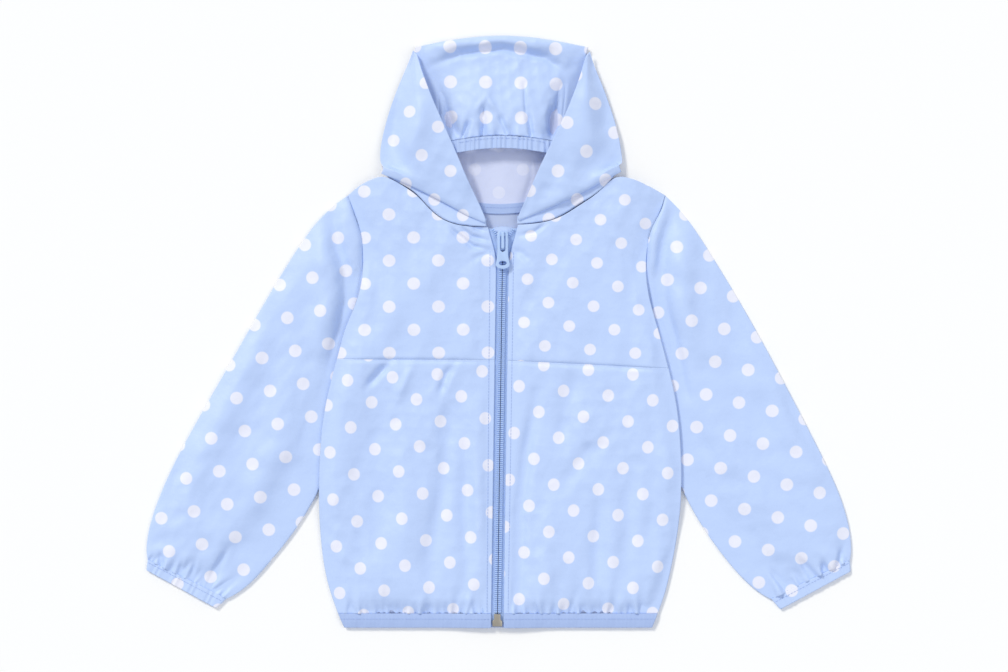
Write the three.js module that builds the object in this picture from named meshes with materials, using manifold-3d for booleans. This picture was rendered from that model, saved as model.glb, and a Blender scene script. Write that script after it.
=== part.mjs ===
// A toddler's hooded windbreaker jacket, lying flat on its back with the zip done up.
//
// Frame: millimetres. The jacket rests on the plane z = 0 with its front up (+Z), its hood towards
// +Y and its hem towards -Y. The wearer's right side is at -X. The origin is under the middle of it.
//
// Every cloth piece is a wall: a patch is stretched between the four edges of the cut piece, lifted
// to its layer, and given a thickness along its own normals. Sleeves and cuffs are flattened tubes.
// Neighbouring pieces stop SEAM_GAP short of each other where they would be sewn.
import * as THREE from "three";
import { mergeVertices } from "three/addons/utils/BufferGeometryUtils.js";
import Module from "manifold-3d";

const wasm = await Module();
wasm.setup();

// ---------------------------------------------------------------------------------------------
// Driving sizes
// ---------------------------------------------------------------------------------------------
const CLOTH = 1.0; // wall of every cloth piece
const SEAM_GAP = 0.3; // between pieces that are sewn together
const LAYER_GAP = 0.4; // between panels that lie on each other

const HEM_Y = -236; // lower edge of the hem band
const HEM_SEAM_Y = -225; // where the gathered panels join it
const BACK_NECK_Y = 98; // lowest point of the neck seam at the centre back
const NECK_BINDING = 8; // width of the tape over that seam
const HOOD_TOP_Y = 236.4;

const SIDE_LIFT = 3.2; // the body's side folds ride this high over the tucked sleeve
const SIDE_LIFT_FLAT = 17; // width of the lifted strip beside the side fold
const SIDE_LIFT_RAMP = 20; // width over which it comes down to the floor
const CUFF_HEIGHT = 2.8; // height of a sleeve at its cuff and at its inner fold
const SLEEVE_HEIGHT = 5.4; // and in the middle of its width

const ZIP = {
  topX: 3.3, // centre line of the chain at the slider
  topY: 66,
  bottomX: -0.8, // and at the retainer box
  bottomY: -226,
  gap: 5.2, // half the slot between the fronts' folded edges
  chainHalf: 2.9, // half the closed chain
  tapeWidth: 12,
  tapeZ: 3.1,
  tapeThick: 0.6,
  coilZ: 4.0,
  coilThick: 1.8,
};
const GUARD = { halfWidth: 13, z: 1.3, thick: 0.6, topY: 84.6 };

// ---------------------------------------------------------------------------------------------
// Outlines. Each table has a row for each point of an edge.
// ---------------------------------------------------------------------------------------------

// Side folds and armhole seams of the body: x on the wearer's right and left, by height.
const BODY_SIDES = [
  { y: HEM_Y, right: -123, left: 122.5 },
  { y: HEM_SEAM_Y, right: -128, left: 127 },
  { y: -213, right: -132.5, left: 131.8 },
  { y: -196, right: -137.5, left: 136 },
  { y: -170, right: -141.3, left: 141.3 },
  { y: -140, right: -143, left: 145 },
  { y: -108, right: -142.6, left: 145.7 },
  { y: -70, right: -139.8, left: 143.5 },
  { y: -42, right: -134, left: 138.8 },
  { y: -14, right: -126.6, left: 131.4 },
  { y: 6, right: -121, left: 126 },
  { y: 18, right: -115, left: 122.2 },
  { y: 30, right: -110.8, left: 119.2 },
  { y: 43, right: -108.4, left: 117.6 },
  { y: 57, right: -107.8, left: 117.4 },
  { y: 71, right: -108.3, left: 119 },
  { y: 84, right: -111.4, left: 122.4 },
  { y: 97, right: -116.2, left: 130 },
  { y: 109, right: -120, left: 133 },
];

// Shoulder line and front neck seam, from the armhole to the top of the zip.
const RIGHT_TOP = [
  { x: -120, y: 109 },
  { x: -110, y: 117.4 },
  { x: -101, y: 121.6 },
  { x: -91.6, y: 124.8 },
  { x: -78.8, y: 117.6 },
  { x: -67.6, y: 111.2 },
  { x: -57.2, y: 100 },
  { x: -46.8, y: 90.4 },
  { x: -32.4, y: 84.8 },
  { x: -10.5, y: 83.2 },
];
const LEFT_TOP = [
  { x: 133, y: 109 },
  { x: 118, y: 117.2 },
  { x: 105.2, y: 122.4 },
  { x: 94, y: 124.8 },
  { x: 80.4, y: 111.2 },
  { x: 66, y: 101.6 },
  { x: 56.4, y: 95.2 },
  { x: 43.6, y: 88.8 },
  { x: 28.4, y: 86 },
  { x: 15.5, y: 85.2 },
];
// Where the neck seam starts in the two tables above.
const NECK_ROW = 3;

// Yoke seam across the chest, from each side fold to the zip.
const YOKE_SEAM = { rightSideY: -21.6, rightZipY: -22.4, leftZipY: -22.8, leftSideY: -29 };

// Neck seam of the back, from the right neck point to the left.
const BACK_NECK = [
  { x: -91.6, y: 124.8 },
  { x: -66, y: 112 },
  { x: -34, y: 102.6 },
  { x: 0, y: BACK_NECK_Y },
  { x: 36, y: 102.6 },
  { x: 68, y: 112 },
  { x: 94, y: 124.8 },
];

// Outer edge of the hood, by height.
const HOOD_SIDES = [
  { y: 124.8, right: -91.6, left: 94 },
  { y: 132, right: -94.6, left: 98.8 },
  { y: 143, right: -94.8, left: 98.2 },
  { y: 160.8, right: -91.6, left: 94.8 },
  { y: 180, right: -86.2, left: 89.2 },
  { y: 199.2, right: -78.8, left: 82 },
  { y: 218.4, right: -70.8, left: 74.4 },
  { y: 227.4, right: -66, left: 70.8 },
];
const HOOD_TOP = [
  { x: -66, y: 227.4 },
  { x: -34, y: 233.6 },
  { x: 2.4, y: HOOD_TOP_Y },
  { x: 38, y: 233.6 },
  { x: 70.8, y: 227.4 },
];

// Lower fold of each hood side, where it overhangs the neck seam, from outside to the zip.
const RIGHT_HOOD_FOLD = [
  { x: -93, y: 126.5 },
  { x: -71.2, y: 117 },
  { x: -43.2, y: 103 },
  { x: -26.3, y: 93 },
  { x: -11.2, y: 86 },
];
const LEFT_HOOD_FOLD = [
  { x: 97.5, y: 128 },
  { x: 87.1, y: 122.4 },
  { x: 63.6, y: 109.4 },
  { x: 40.2, y: 98.4 },
  { x: 16.6, y: 88 },
];

// Sections of each hood side above that fold: its outer edge, its inner edge, how high both are,
// and how high it stands between them.
const RIGHT_HOOD_SECTIONS = [
  { outX: -94.4, outY: 135, inX: -16.6, inY: 104.5, outZ: 4.5, inZ: 11, midZ: 14 },
  { outX: -94.2, outY: 146, inX: -25.8, inY: 123, outZ: 4, inZ: 13.5, midZ: 16 },
  { outX: -91.2, outY: 161, inX: -33.2, inY: 141.6, outZ: 4, inZ: 15, midZ: 16 },
  { outX: -85.8, outY: 180, inX: -43, inY: 163, outZ: 4, inZ: 15.5, midZ: 15 },
  { outX: -78.4, outY: 199, inX: -53.5, inY: 187, outZ: 4, inZ: 14.5, midZ: 13 },
  { outX: -71.6, outY: 214, inX: -61, inY: 207, outZ: 4, inZ: 12.5, midZ: 10.5 },
  { outX: -68, outY: 224, inX: -64.8, inY: 220.5, outZ: 6.2, inZ: 9.5, midZ: 8 },
];
const LEFT_HOOD_SECTIONS = [
  { outX: 98.4, outY: 135, inX: 21.6, inY: 104.5, outZ: 4.5, inZ: 11, midZ: 14 },
  { outX: 97.8, outY: 146, inX: 29.4, inY: 123, outZ: 4, inZ: 13.5, midZ: 16 },
  { outX: 94.6, outY: 161, inX: 38, inY: 142, outZ: 4, inZ: 15, midZ: 16 },
  { outX: 89, outY: 180, inX: 49, inY: 163, outZ: 4, inZ: 15.5, midZ: 15 },
  { outX: 81.6, outY: 199, inX: 59.4, inY: 187, outZ: 4, inZ: 14.5, midZ: 13 },
  { outX: 75.2, outY: 214, inX: 66.4, inY: 207, outZ: 4, inZ: 12.5, midZ: 10.5 },
  { outX: 72.8, outY: 223, inX: 69.8, inY: 219.5, outZ: 6.2, inZ: 9.5, midZ: 8 },
];

// Crown of the hood, from the brim seam up: half-tucked under the hood sides at right and left.
const CROWN_SECTIONS = [
  { y: 156.6, right: -39, left: 44, sideDrop: 4.6, midZ: 12.5, edgeZ: 11 },
  { y: 166, right: -44.5, left: 49.5, sideDrop: 7, midZ: 13, edgeZ: 6.5 },
  { y: 178, right: -49, left: 54, sideDrop: 9, midZ: 12.6, edgeZ: 3.4 },
  { y: 192, right: -54, left: 59, sideDrop: 12, midZ: 11, edgeZ: 2.2 },
  { y: 206, right: -58, left: 63, sideDrop: 14, midZ: 8.6, edgeZ: 1.9 },
  { y: 215, right: -61, left: 65.5, sideDrop: 14, midZ: 6.4, edgeZ: 2.1 },
  { y: 220.5, right: -63, left: 67.5, sideDrop: 12.5, midZ: 6.4, edgeZ: 3.4 },
  { y: 226, right: -64.5, left: 69, sideDrop: 10, midZ: 9.4, edgeZ: 3.8 },
  { y: 231, right: -66, left: 70, sideDrop: 7.6, midZ: 11.4, edgeZ: 3.8 },
  { y: 235, right: -66.5, left: 71.5, sideDrop: 8.2, midZ: 9.6, edgeZ: 3.6 },
  { y: 236.2, right: -66, left: 71, sideDrop: 9, midZ: 5.4, edgeZ: 2.8 },
  { y: 235.7, right: -65.5, left: 70.5, sideDrop: 9.2, midZ: 1.9, edgeZ: 1.3 },
];
const BRIM = { width: 10, bow: 4.4, z: 12.4, right: -37, left: 42, thick: 1.6 };

// Sections of each sleeve from the armhole down: outer fold, inner fold, and how much of the
// armhole's curve the section keeps.
const RIGHT_SLEEVE = [
  { outX: -142.8, outY: 93.6, inX: -112, inY: -12, curve: 0.75 },
  { outX: -168.4, outY: 55.2, inX: -117, inY: -45, curve: 0.4 },
  { outX: -191, outY: 16.8, inX: -125.5, inY: -78, curve: 0.15 },
  { outX: -212.6, outY: -21.6, inX: -135.5, inY: -110, curve: 0 },
  { outX: -234.8, outY: -60, inX: -148, inY: -136, curve: 0 },
  { outX: -256.4, outY: -98.4, inX: -163, inY: -160, curve: 0 },
  { outX: -271, outY: -130, inX: -181, inY: -182, curve: 0 },
  { outX: -279.6, outY: -156, inX: -196, inY: -199.5, curve: 0 },
  { outX: -281.8, outY: -172, inX: -209, inY: -209.5, curve: 0 },
  { outX: -280.6, outY: -181.6, inX: -217, inY: -213, curve: 0 },
];
const LEFT_SLEEVE = [
  { outX: 149.9, outY: 93.6, inX: 118.5, inY: -12, curve: 0.75 },
  { outX: 172.6, outY: 58, inX: 122.5, inY: -45, curve: 0.4 },
  { outX: 196.7, outY: 18, inX: 130, inY: -80, curve: 0.15 },
  { outX: 217.6, outY: -20, inX: 139.5, inY: -110, curve: 0 },
  { outX: 237.5, outY: -58, inX: 152, inY: -138, curve: 0 },
  { outX: 258, outY: -97.5, inX: 166, inY: -161, curve: 0 },
  { outX: 272, outY: -127, inX: 183, inY: -184, curve: 0 },
  { outX: 280, outY: -152, inX: 198, inY: -200.5, curve: 0 },
  { outX: 282.4, outY: -172, inX: 210, inY: -210, curve: 0 },
  { outX: 281, outY: -182, inX: 217.6, inY: -213.4, curve: 0 },
];
const RIGHT_CUFF_END = { outX: -281.4, outY: -190, inX: -225.2, inY: -220.8 };
const LEFT_CUFF_END = { outX: 281.4, outY: -191, inX: 225, inY: -221.6 };
const ARMHOLE = { topY: 109, bottomY: 12, gap: 0.95 };

// The largest folds of the fronts: where each runs, its half width, and its depth or, if
// negative, its height.
const FRONT_FOLDS = [
  { x0: -70, y0: -40, x1: -93, y1: -190, half: 13, depth: 1.4 },
  { x0: -34, y0: -50, x1: -46, y1: -200, half: 11, depth: 1.5 },
  { x0: -22, y0: -90, x1: -20, y1: -205, half: 8, depth: 1.2 },
  { x0: -58, y0: -60, x1: -70, y1: -200, half: 12, depth: -0.7 },
  { x0: 33, y0: -50, x1: 21, y1: -210, half: 10, depth: 1.5 },
  { x0: 100, y0: -90, x1: 88, y1: -200, half: 13, depth: 1.2 },
  { x0: 62, y0: -70, x1: 52, y1: -190, half: 14, depth: -0.6 },
];

// ---------------------------------------------------------------------------------------------
// Curves and surfaces
// ---------------------------------------------------------------------------------------------
const clamp01 = (t) => Math.min(1, Math.max(0, t));
const smooth = (t) => clamp01(t) ** 2 * (3 - 2 * clamp01(t));
const mix = (a, b, t) => a + (b - a) * t;

// The value of a table's column at a place along another column, through a smooth curve.
function lookUp(table, key, column, at) {
  const last = table.length - 1;
  let i = 0;
  while (i < last - 1 && at > table[i + 1][key]) i += 1;
  const [before, a, b, after] = [i - 1, i, i + 1, i + 2].map((k) => table[Math.min(last, Math.max(0, k))]);
  const t = clamp01((at - a[key]) / (b[key] - a[key]));
  const slopeA = ((b[column] - before[column]) / (b[key] - before[key])) * (b[key] - a[key]);
  const slopeB = ((after[column] - a[column]) / (after[key] - a[key])) * (b[key] - a[key]);
  const t2 = t * t;
  const t3 = t2 * t;
  return (
    (2 * t3 - 3 * t2 + 1) * a[column] + (t3 - 2 * t2 + t) * slopeA + (3 * t2 - 2 * t3) * b[column] + (t3 - t2) * slopeB
  );
}

const sideX = (side, y) => lookUp(BODY_SIDES, "y", side, y);

// A curve through a table's points, as a function from 0 to 1 of its length.
function curveOf(points) {
  const curve = new THREE.CatmullRomCurve3(
    points.map((p) => new THREE.Vector3(p.x, p.y, 0)),
    false,
    "centripetal",
  );
  return (t) => curve.getPointAt(clamp01(t));
}

// The corners of a line in equal steps, however far apart they are.
function polyline(points) {
  const corners = points.map((p) => new THREE.Vector3(p.x, p.y, 0));
  const count = corners.length - 1;
  const line = (t) => {
    const k = Math.min(count - 1, Math.floor(clamp01(t) * count + 1e-9));
    return new THREE.Vector3().lerpVectors(corners[k], corners[k + 1], clamp01(t) * count - k);
  };
  line.count = count;
  return line;
}

// The point of a patch stretched between four edges: low and high run across, start and end up.
function patchPoint(low, high, start, end, u, v) {
  const p = new THREE.Vector3();
  const corners = [low(0), low(1), high(0), high(1)];
  p.addScaledVector(low(u), 1 - v).addScaledVector(high(u), v);
  p.addScaledVector(start(v), 1 - u).addScaledVector(end(v), u);
  p.addScaledVector(corners[0], -(1 - u) * (1 - v)).addScaledVector(corners[1], -u * (1 - v));
  p.addScaledVector(corners[2], -(1 - u) * v).addScaledVector(corners[3], -u * v);
  return p;
}

// A grid of points of a patch, lifted to a height.
function patchGrid({ low, high, start, end, across, up, height }) {
  const grid = [];
  for (let j = 0; j <= up; j += 1) {
    const row = [];
    for (let i = 0; i <= across; i += 1) {
      const p = patchPoint(low, high, start, end, i / across, j / up);
      p.z = height(p.x, p.y, i / across, j / up);
      row.push(p);
    }
    grid.push(row);
  }
  return grid;
}

// The closed surface of two grids that share their size: top over bottom, walled round the rim.
function closedBetween(top, bottom) {
  const rows = top.length;
  const columns = top[0].length;
  const points = [...top.flat(), ...bottom.flat()];
  const offset = rows * columns;
  const at = (j, i) => j * columns + i;
  const faces = [];
  const quad = (a, b, c, d) => faces.push(a, b, c, a, c, d);
  for (let j = 0; j < rows - 1; j += 1) {
    for (let i = 0; i < columns - 1; i += 1) {
      quad(at(j, i), at(j, i + 1), at(j + 1, i + 1), at(j + 1, i));
      quad(offset + at(j, i), offset + at(j + 1, i), offset + at(j + 1, i + 1), offset + at(j, i + 1));
    }
  }
  const rim = [];
  for (let i = 0; i < columns - 1; i += 1) rim.push([at(0, i), at(0, i + 1)]);
  for (let j = 0; j < rows - 1; j += 1) rim.push([at(j, columns - 1), at(j + 1, columns - 1)]);
  for (let i = columns - 1; i > 0; i -= 1) rim.push([at(rows - 1, i), at(rows - 1, i - 1)]);
  for (let j = rows - 1; j > 0; j -= 1) rim.push([at(j, 0), at(j - 1, 0)]);
  for (const [a, b] of rim) quad(a, offset + a, offset + b, b);
  return geometryFrom(points, faces);
}

function geometryFrom(points, faces) {
  const geometry = new THREE.BufferGeometry();
  geometry.setAttribute("position", new THREE.Float32BufferAttribute(points.flatMap((p) => [p.x, p.y, p.z]), 3));
  geometry.setIndex(faces);
  if (signedVolume(points, faces) < 0) {
    for (let i = 0; i < faces.length; i += 3) [faces[i + 1], faces[i + 2]] = [faces[i + 2], faces[i + 1]];
    geometry.setIndex(faces);
  }
  geometry.computeVertexNormals();
  return geometry;
}

function signedVolume(points, faces) {
  let total = 0;
  for (let i = 0; i < faces.length; i += 3) {
    const [a, b, c] = [points[faces[i]], points[faces[i + 1]], points[faces[i + 2]]];
    total += a.dot(new THREE.Vector3().crossVectors(b, c));
  }
  return total;
}

// The unit normal of a grid of points at one of them, on its upper side.
function gridNormal(grid, j, i) {
  const row = grid[j];
  const across = new THREE.Vector3().subVectors(row[Math.min(row.length - 1, i + 1)], row[Math.max(0, i - 1)]);
  const up = new THREE.Vector3().subVectors(grid[Math.min(grid.length - 1, j + 1)][i], grid[Math.max(0, j - 1)][i]);
  return across.cross(up).normalize();
}

// A cloth wall: the grid is its middle surface.
function wall(grid, thick = CLOTH) {
  const probe = gridNormal(grid, Math.floor(grid.length / 2), Math.floor(grid[0].length / 2));
  const upward = probe.z < 0 ? -1 : 1;
  const moved = (share) =>
    grid.map((row, j) => row.map((p, i) => p.clone().addScaledVector(gridNormal(grid, j, i), upward * share * thick)));
  return closedBetween(moved(0.5), moved(-0.5));
}

// A tube wall: each ring lists its outer points and, in the same order, its inner ones.
function tube(rings) {
  const count = rings[0].outer.length;
  const points = rings.flatMap((ring) => [...ring.outer, ...ring.inner]);
  const at = (k, i, inner) => k * 2 * count + (inner ? count : 0) + (i % count);
  const faces = [];
  const quad = (a, b, c, d) => faces.push(a, b, c, a, c, d);
  for (let k = 0; k < rings.length - 1; k += 1) {
    for (let i = 0; i < count; i += 1) {
      quad(at(k, i), at(k, i + 1), at(k + 1, i + 1), at(k + 1, i));
      quad(at(k, i, true), at(k + 1, i, true), at(k + 1, i + 1, true), at(k, i + 1, true));
    }
  }
  const last = rings.length - 1;
  for (let i = 0; i < count; i += 1) {
    quad(at(0, i), at(0, i, true), at(0, i + 1, true), at(0, i + 1));
    quad(at(last, i), at(last, i + 1), at(last, i + 1, true), at(last, i, true));
  }
  return geometryFrom(points, faces);
}

// ---------------------------------------------------------------------------------------------
// Heights of the body's layers
// ---------------------------------------------------------------------------------------------

// How far the side folds are lifted over the sleeves.
function sideLift(x, y) {
  const fromSide = Math.min(x - sideX("right", y), sideX("left", y) - x);
  const across = 1 - smooth((fromSide - SIDE_LIFT_FLAT) / SIDE_LIFT_RAMP);
  const along = smooth((y + 166) / 38) * (1 - smooth((y - 30) / 28));
  return SIDE_LIFT * across * along;
}

// How deep a point lies in a fold.
function foldDepth(fold, x, y) {
  const [dx, dy] = [fold.x1 - fold.x0, fold.y1 - fold.y0];
  const t = ((x - fold.x0) * dx + (y - fold.y0) * dy) / (dx * dx + dy * dy);
  const away = Math.hypot(x - mix(fold.x0, fold.x1, t), y - mix(fold.y0, fold.y1, t)) / fold.half;
  const ends = smooth((t + 0.15) / 0.3) * smooth((1.15 - t) / 0.3);
  return fold.depth * ends * Math.exp(-away * away);
}

const zipX = (y) => mix(ZIP.bottomX, ZIP.topX, (y - ZIP.bottomY) / (ZIP.topY - ZIP.bottomY));
const NECK_STEPS = 14;
const backMid = (x, y) => CLOTH / 2 + sideLift(x, y);

// The middle of the front layer.
function frontMid(x, y) {
  const fromSide = Math.min(x - sideX("right", y), sideX("left", y) - x);
  const fullness = smooth(fromSide / 26) * smooth((y - HEM_SEAM_Y + 4) / 26);
  const nearZip = 1 - smooth((Math.abs(x - zipX(y)) - 16) / 16);
  const folds = FRONT_FOLDS.reduce((sum, fold) => sum + foldDepth(fold, x, y), 0);
  const free = LAYER_GAP + 2.5 * fullness - folds * fullness;
  const lift = sideLift(x, y);
  const gap = mix(Math.max(LAYER_GAP, Math.min(3.5 - 0.5 * lift, free)), ZIP.coilZ - CLOTH, nearZip);
  return backMid(x, y) + CLOTH + gap;
}

// ---------------------------------------------------------------------------------------------
// Body
// ---------------------------------------------------------------------------------------------
const zipSlot = (y) => ZIP.gap + 6.8 * smooth((y - 58) / 27);
const frontEdgeX = (side, y) => zipX(y) + (side === "right" ? -1 : 1) * zipSlot(y);
const yokeSeamY = (side, share) =>
  side === "right"
    ? mix(YOKE_SEAM.rightSideY, YOKE_SEAM.rightZipY, share)
    : mix(YOKE_SEAM.leftSideY, YOKE_SEAM.leftZipY, share);

// An edge along a side fold or armhole, between two heights.
const sideEdge = (side, from, to) => (t) => new THREE.Vector3(sideX(side, mix(from, to, t)), mix(from, to, t), 0);
const frontEdge = (side, from, to) => (t) =>
  new THREE.Vector3(frontEdgeX(side, mix(from, to, t)), mix(from, to, t), 0);
// A straight edge between the first points of two others.
const across = (from, to) => (t) => new THREE.Vector3().lerpVectors(from, to, t);

function frontLower(side) {
  const low = HEM_SEAM_Y + SEAM_GAP / 2;
  const [sideTop, zipTop] = [yokeSeamY(side, 0) - SEAM_GAP / 2, yokeSeamY(side, 1) - SEAM_GAP / 2];
  const start = sideEdge(side, low, sideTop);
  const end = frontEdge(side, low, zipTop);
  return wall(
    patchGrid({ low: across(start(0), end(0)), high: across(start(1), end(1)), start, end, across: 11, up: 12, height: frontMid }),
  );
}

function frontYoke(side) {
  const top = side === "right" ? RIGHT_TOP : LEFT_TOP;
  const [sideLow, zipLow] = [yokeSeamY(side, 0) + SEAM_GAP / 2, yokeSeamY(side, 1) + SEAM_GAP / 2];
  const start = sideEdge(side, sideLow, top[0].y);
  const end = frontEdge(side, zipLow, top[top.length - 1].y);
  const high = curveOf([start(1), ...top.slice(1, -1), end(1)]);
  return wall(
    patchGrid({ low: across(start(0), end(0)), high, start, end, across: 12, up: 10, height: frontMid }),
  );
}

function backPanel() {
  const start = sideEdge("right", HEM_SEAM_Y + SEAM_GAP / 2, ARMHOLE.topY);
  const end = sideEdge("left", HEM_SEAM_Y + SEAM_GAP / 2, ARMHOLE.topY);
  const neck = curveOf(BACK_NECK);
  const neckPoints = Array.from({ length: NECK_STEPS + 1 }, (_, i) => neck(i / NECK_STEPS));
  const high = polyline([start(1), ...RIGHT_TOP.slice(1, NECK_ROW), ...neckPoints, ...LEFT_TOP.slice(1, NECK_ROW).reverse(), end(1)]);
  const columns = high.count;
  return wall(patchGrid({ low: across(start(0), end(0)), high, start, end, across: columns, up: 17, height: backMid }));
}

const HEM = { thick: 1.3, seamY: HEM_SEAM_Y - SEAM_GAP / 2 };

function hemBand(low, high, x0, x1, mid, thick) {
  const height = (x) => mid(x);
  const start = (t) => new THREE.Vector3(mix(x0(low), x0(high), t), mix(low, high, t), 0);
  const end = (t) => new THREE.Vector3(mix(x1(low), x1(high), t), mix(low, high, t), 0);
  return wall(
    patchGrid({ low: across(start(0), end(0)), high: across(start(1), end(1)), start, end, across: 12, up: 2, height }),
    thick,
  );
}

// The front hem rises to pass over the zip tape.
const hemFrontMid = (x) =>
  mix(HEM.thick * 1.5 + LAYER_GAP, ZIP.coilZ + HEM.thick / 2, 1 - smooth((Math.abs(x - ZIP.bottomX) - 14) / 30));

// ---------------------------------------------------------------------------------------------
// Sleeves: each section is a flattened ring, flat underneath and rounded at its two folds
// ---------------------------------------------------------------------------------------------
const TOP_POINTS = 12; // across the upper layer of a ring
const BOTTOM_POINTS = 7;
const FOLD_POINTS = 3; // round each fold, between the layers

// The outer height of a sleeve, by distance from its inner and outer folds.
function sleeveHeight(fromInner, fromOuter, along) {
  const rise = smooth((fromInner - 22 - 24 * (1 - smooth(along / 0.5))) / 26) * smooth(fromOuter / 24);
  const full = mix(1, 0.35, smooth((along - 0.8) / 0.2));
  return CUFF_HEIGHT + (SLEEVE_HEIGHT - CUFF_HEIGHT) * rise * full;
}

// A ring across a line of plan points from the outer fold to the inner one.
function flatRing(line, along, heightOf, thick) {
  const width = line(0).distanceTo(line(1));
  const ringAt = (inset) => {
    const radius = CUFF_HEIGHT / 2 - inset;
    const from = (radius + inset) / width;
    const points = [];
    const put = (share, z) => points.push(line(share).setZ(z));
    for (let i = 0; i < TOP_POINTS; i += 1) {
      const share = mix(from, 1 - from, i / (TOP_POINTS - 1));
      put(share, heightOf((1 - share) * width, share * width, along) - inset);
    }
    for (let i = 1; i <= FOLD_POINTS; i += 1) {
      const angle = (i / (FOLD_POINTS + 1)) * Math.PI;
      put(1 - from + (radius * Math.sin(angle)) / width, CUFF_HEIGHT / 2 + radius * Math.cos(angle));
    }
    for (let i = 0; i < BOTTOM_POINTS; i += 1) put(mix(1 - from, from, i / (BOTTOM_POINTS - 1)), inset);
    for (let i = 1; i <= FOLD_POINTS; i += 1) {
      const angle = (i / (FOLD_POINTS + 1)) * Math.PI;
      put(from - (radius * Math.sin(angle)) / width, CUFF_HEIGHT / 2 - radius * Math.cos(angle));
    }
    return points;
  };
  return { outer: ringAt(0), inner: ringAt(thick) };
}

// The plan line of a sleeve section, from its outer fold to its inner one.
function sleeveLine(side, row) {
  const sign = side === "right" ? -1 : 1;
  const armholeX = (t) => sideX(side, mix(ARMHOLE.topY, ARMHOLE.bottomY, t));
  const bow = (t) => armholeX(t) - mix(armholeX(0), armholeX(1), t);
  return (t) => {
    if (!row) {
      return new THREE.Vector3(armholeX(t) + sign * ARMHOLE.gap, mix(ARMHOLE.topY, ARMHOLE.bottomY, t), 0);
    }
    return new THREE.Vector3(mix(row.outX, row.inX, t) + row.curve * bow(t), mix(row.outY, row.inY, t), 0);
  };
}

const SLEEVE_WALL = 0.9;

function sleeve(side) {
  const rows = side === "right" ? RIGHT_SLEEVE : LEFT_SLEEVE;
  const lines = [sleeveLine(side, null), ...rows.map((row) => sleeveLine(side, row))];
  return tube(lines.map((line, k) => flatRing(line, k / rows.length, sleeveHeight, SLEEVE_WALL)));
}

function cuff(side) {
  const rows = side === "right" ? RIGHT_SLEEVE : LEFT_SLEEVE;
  const seam = rows[rows.length - 1];
  const end = side === "right" ? RIGHT_CUFF_END : LEFT_CUFF_END;
  const down = new THREE.Vector3(end.inX - seam.inX, end.inY - seam.inY, 0);
  const share = SEAM_GAP / down.length();
  const mixed = (t) => {
    const row = { curve: 0 };
    for (const key of ["outX", "outY", "inX", "inY"]) row[key] = mix(seam[key], end[key], t);
    return sleeveLine(side, row);
  };
  const heightOf = () => CUFF_HEIGHT;
  return tube([share, 0.5, 1].map((t) => flatRing(mixed(t), 1, heightOf, SLEEVE_WALL)));
}

// ---------------------------------------------------------------------------------------------
// Hood
// ---------------------------------------------------------------------------------------------
function hoodBack() {
  const neck = curveOf(BACK_NECK);
  const low = (t) => neck(t).add(new THREE.Vector3(0, SEAM_GAP + 0.1, 0));
  const top = { y: 225.5, inset: 1.5 };
  const side = (name, sign) => (t) => {
    const y = mix(BACK_NECK[0].y + SEAM_GAP + 0.1, top.y, t);
    const x = lookUp(HOOD_SIDES, "y", name, y) - sign * top.inset * smooth(t / 0.15);
    return new THREE.Vector3(t === 0 ? low(name === "right" ? 0 : 1).x : x, y, 0);
  };
  const [start, end] = [side("right", -1), side("left", 1)];
  const high = curveOf([start(1), ...HOOD_TOP.slice(1, -1).map((p) => ({ x: p.x, y: p.y - 2.4 })), end(1)]);
  const height = (x, y, u, v) => {
    const rim = 1 - smooth(Math.min(u, 1 - u) / 0.09);
    return CLOTH / 2 + 1.6 * rim * smooth(v / 0.12) * (1 - smooth((v - 0.7) / 0.2));
  };
  return wall(patchGrid({ low, high, start, end, across: NECK_STEPS, up: 10, height }));
}

// Rows of a hood side that turn under its lower fold: how far in from the fold, and how high.
const FOLD_ROWS = [
  { inward: 7, z: 5.9 },
  { inward: 2.4, z: 6.1 },
  { inward: 0.4, z: 7.2 },
  { inward: 0, z: 8.6 },
  { inward: 1.2, z: 10.2 },
  { inward: 5, z: 12 },
];

function hoodSide(side) {
  const rows = side === "right" ? RIGHT_HOOD_SECTIONS : LEFT_HOOD_SECTIONS;
  const top = side === "right" ? RIGHT_TOP : LEFT_TOP;
  const seam = curveOf(top.slice(NECK_ROW));
  const fold = curveOf(side === "right" ? RIGHT_HOOD_FOLD : LEFT_HOOD_FOLD);
  const columns = 12;
  const grid = [];
  const inward = new THREE.Vector3(side === "right" ? 0.35 : -0.35, 0.94, 0);
  const low = (t) => mix(1, 0.12, smooth((t - 0.55) / 0.45)); // the roll flattens towards the zip
  grid.push(
    Array.from({ length: columns + 1 }, (_, i) => {
      const p = seam(i / columns).addScaledVector(inward, 1.2);
      return p.setZ(frontMid(p.x, p.y) + CLOTH + 0.35);
    }),
  );
  for (const row of FOLD_ROWS) {
    grid.push(
      Array.from({ length: columns + 1 }, (_, i) => {
        const t = i / columns;
        const edge = mix(0.35, 1, smooth(t / 0.12)); // and towards the outer corner
        const p = fold(t).addScaledVector(inward, row.inward * mix(0.35, 1, low(t)) + 1.6 * (1 - low(t)));
        return p.setZ(FOLD_ROWS[0].z + (row.z - FOLD_ROWS[0].z) * low(t) * edge + 0.35 * row.z * (1 - low(t)) * 0.5);
      }),
    );
  }
  rows.forEach((row) => {
    grid.push(
      Array.from({ length: columns + 1 }, (_, i) => {
        const t = i / columns;
        const swell = Math.sin(Math.PI * Math.min(1, t * 0.5 + 0.5 * smooth(t / 0.5)));
        const z = mix(row.outZ, row.inZ, smooth(t / 0.6)) + (row.midZ - row.inZ) * swell * smooth(t / 0.35);
        return new THREE.Vector3(mix(row.outX, row.inX, t), mix(row.outY, row.inY, t), z);
      }),
    );
  });
  return wall(grid);
}

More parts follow.
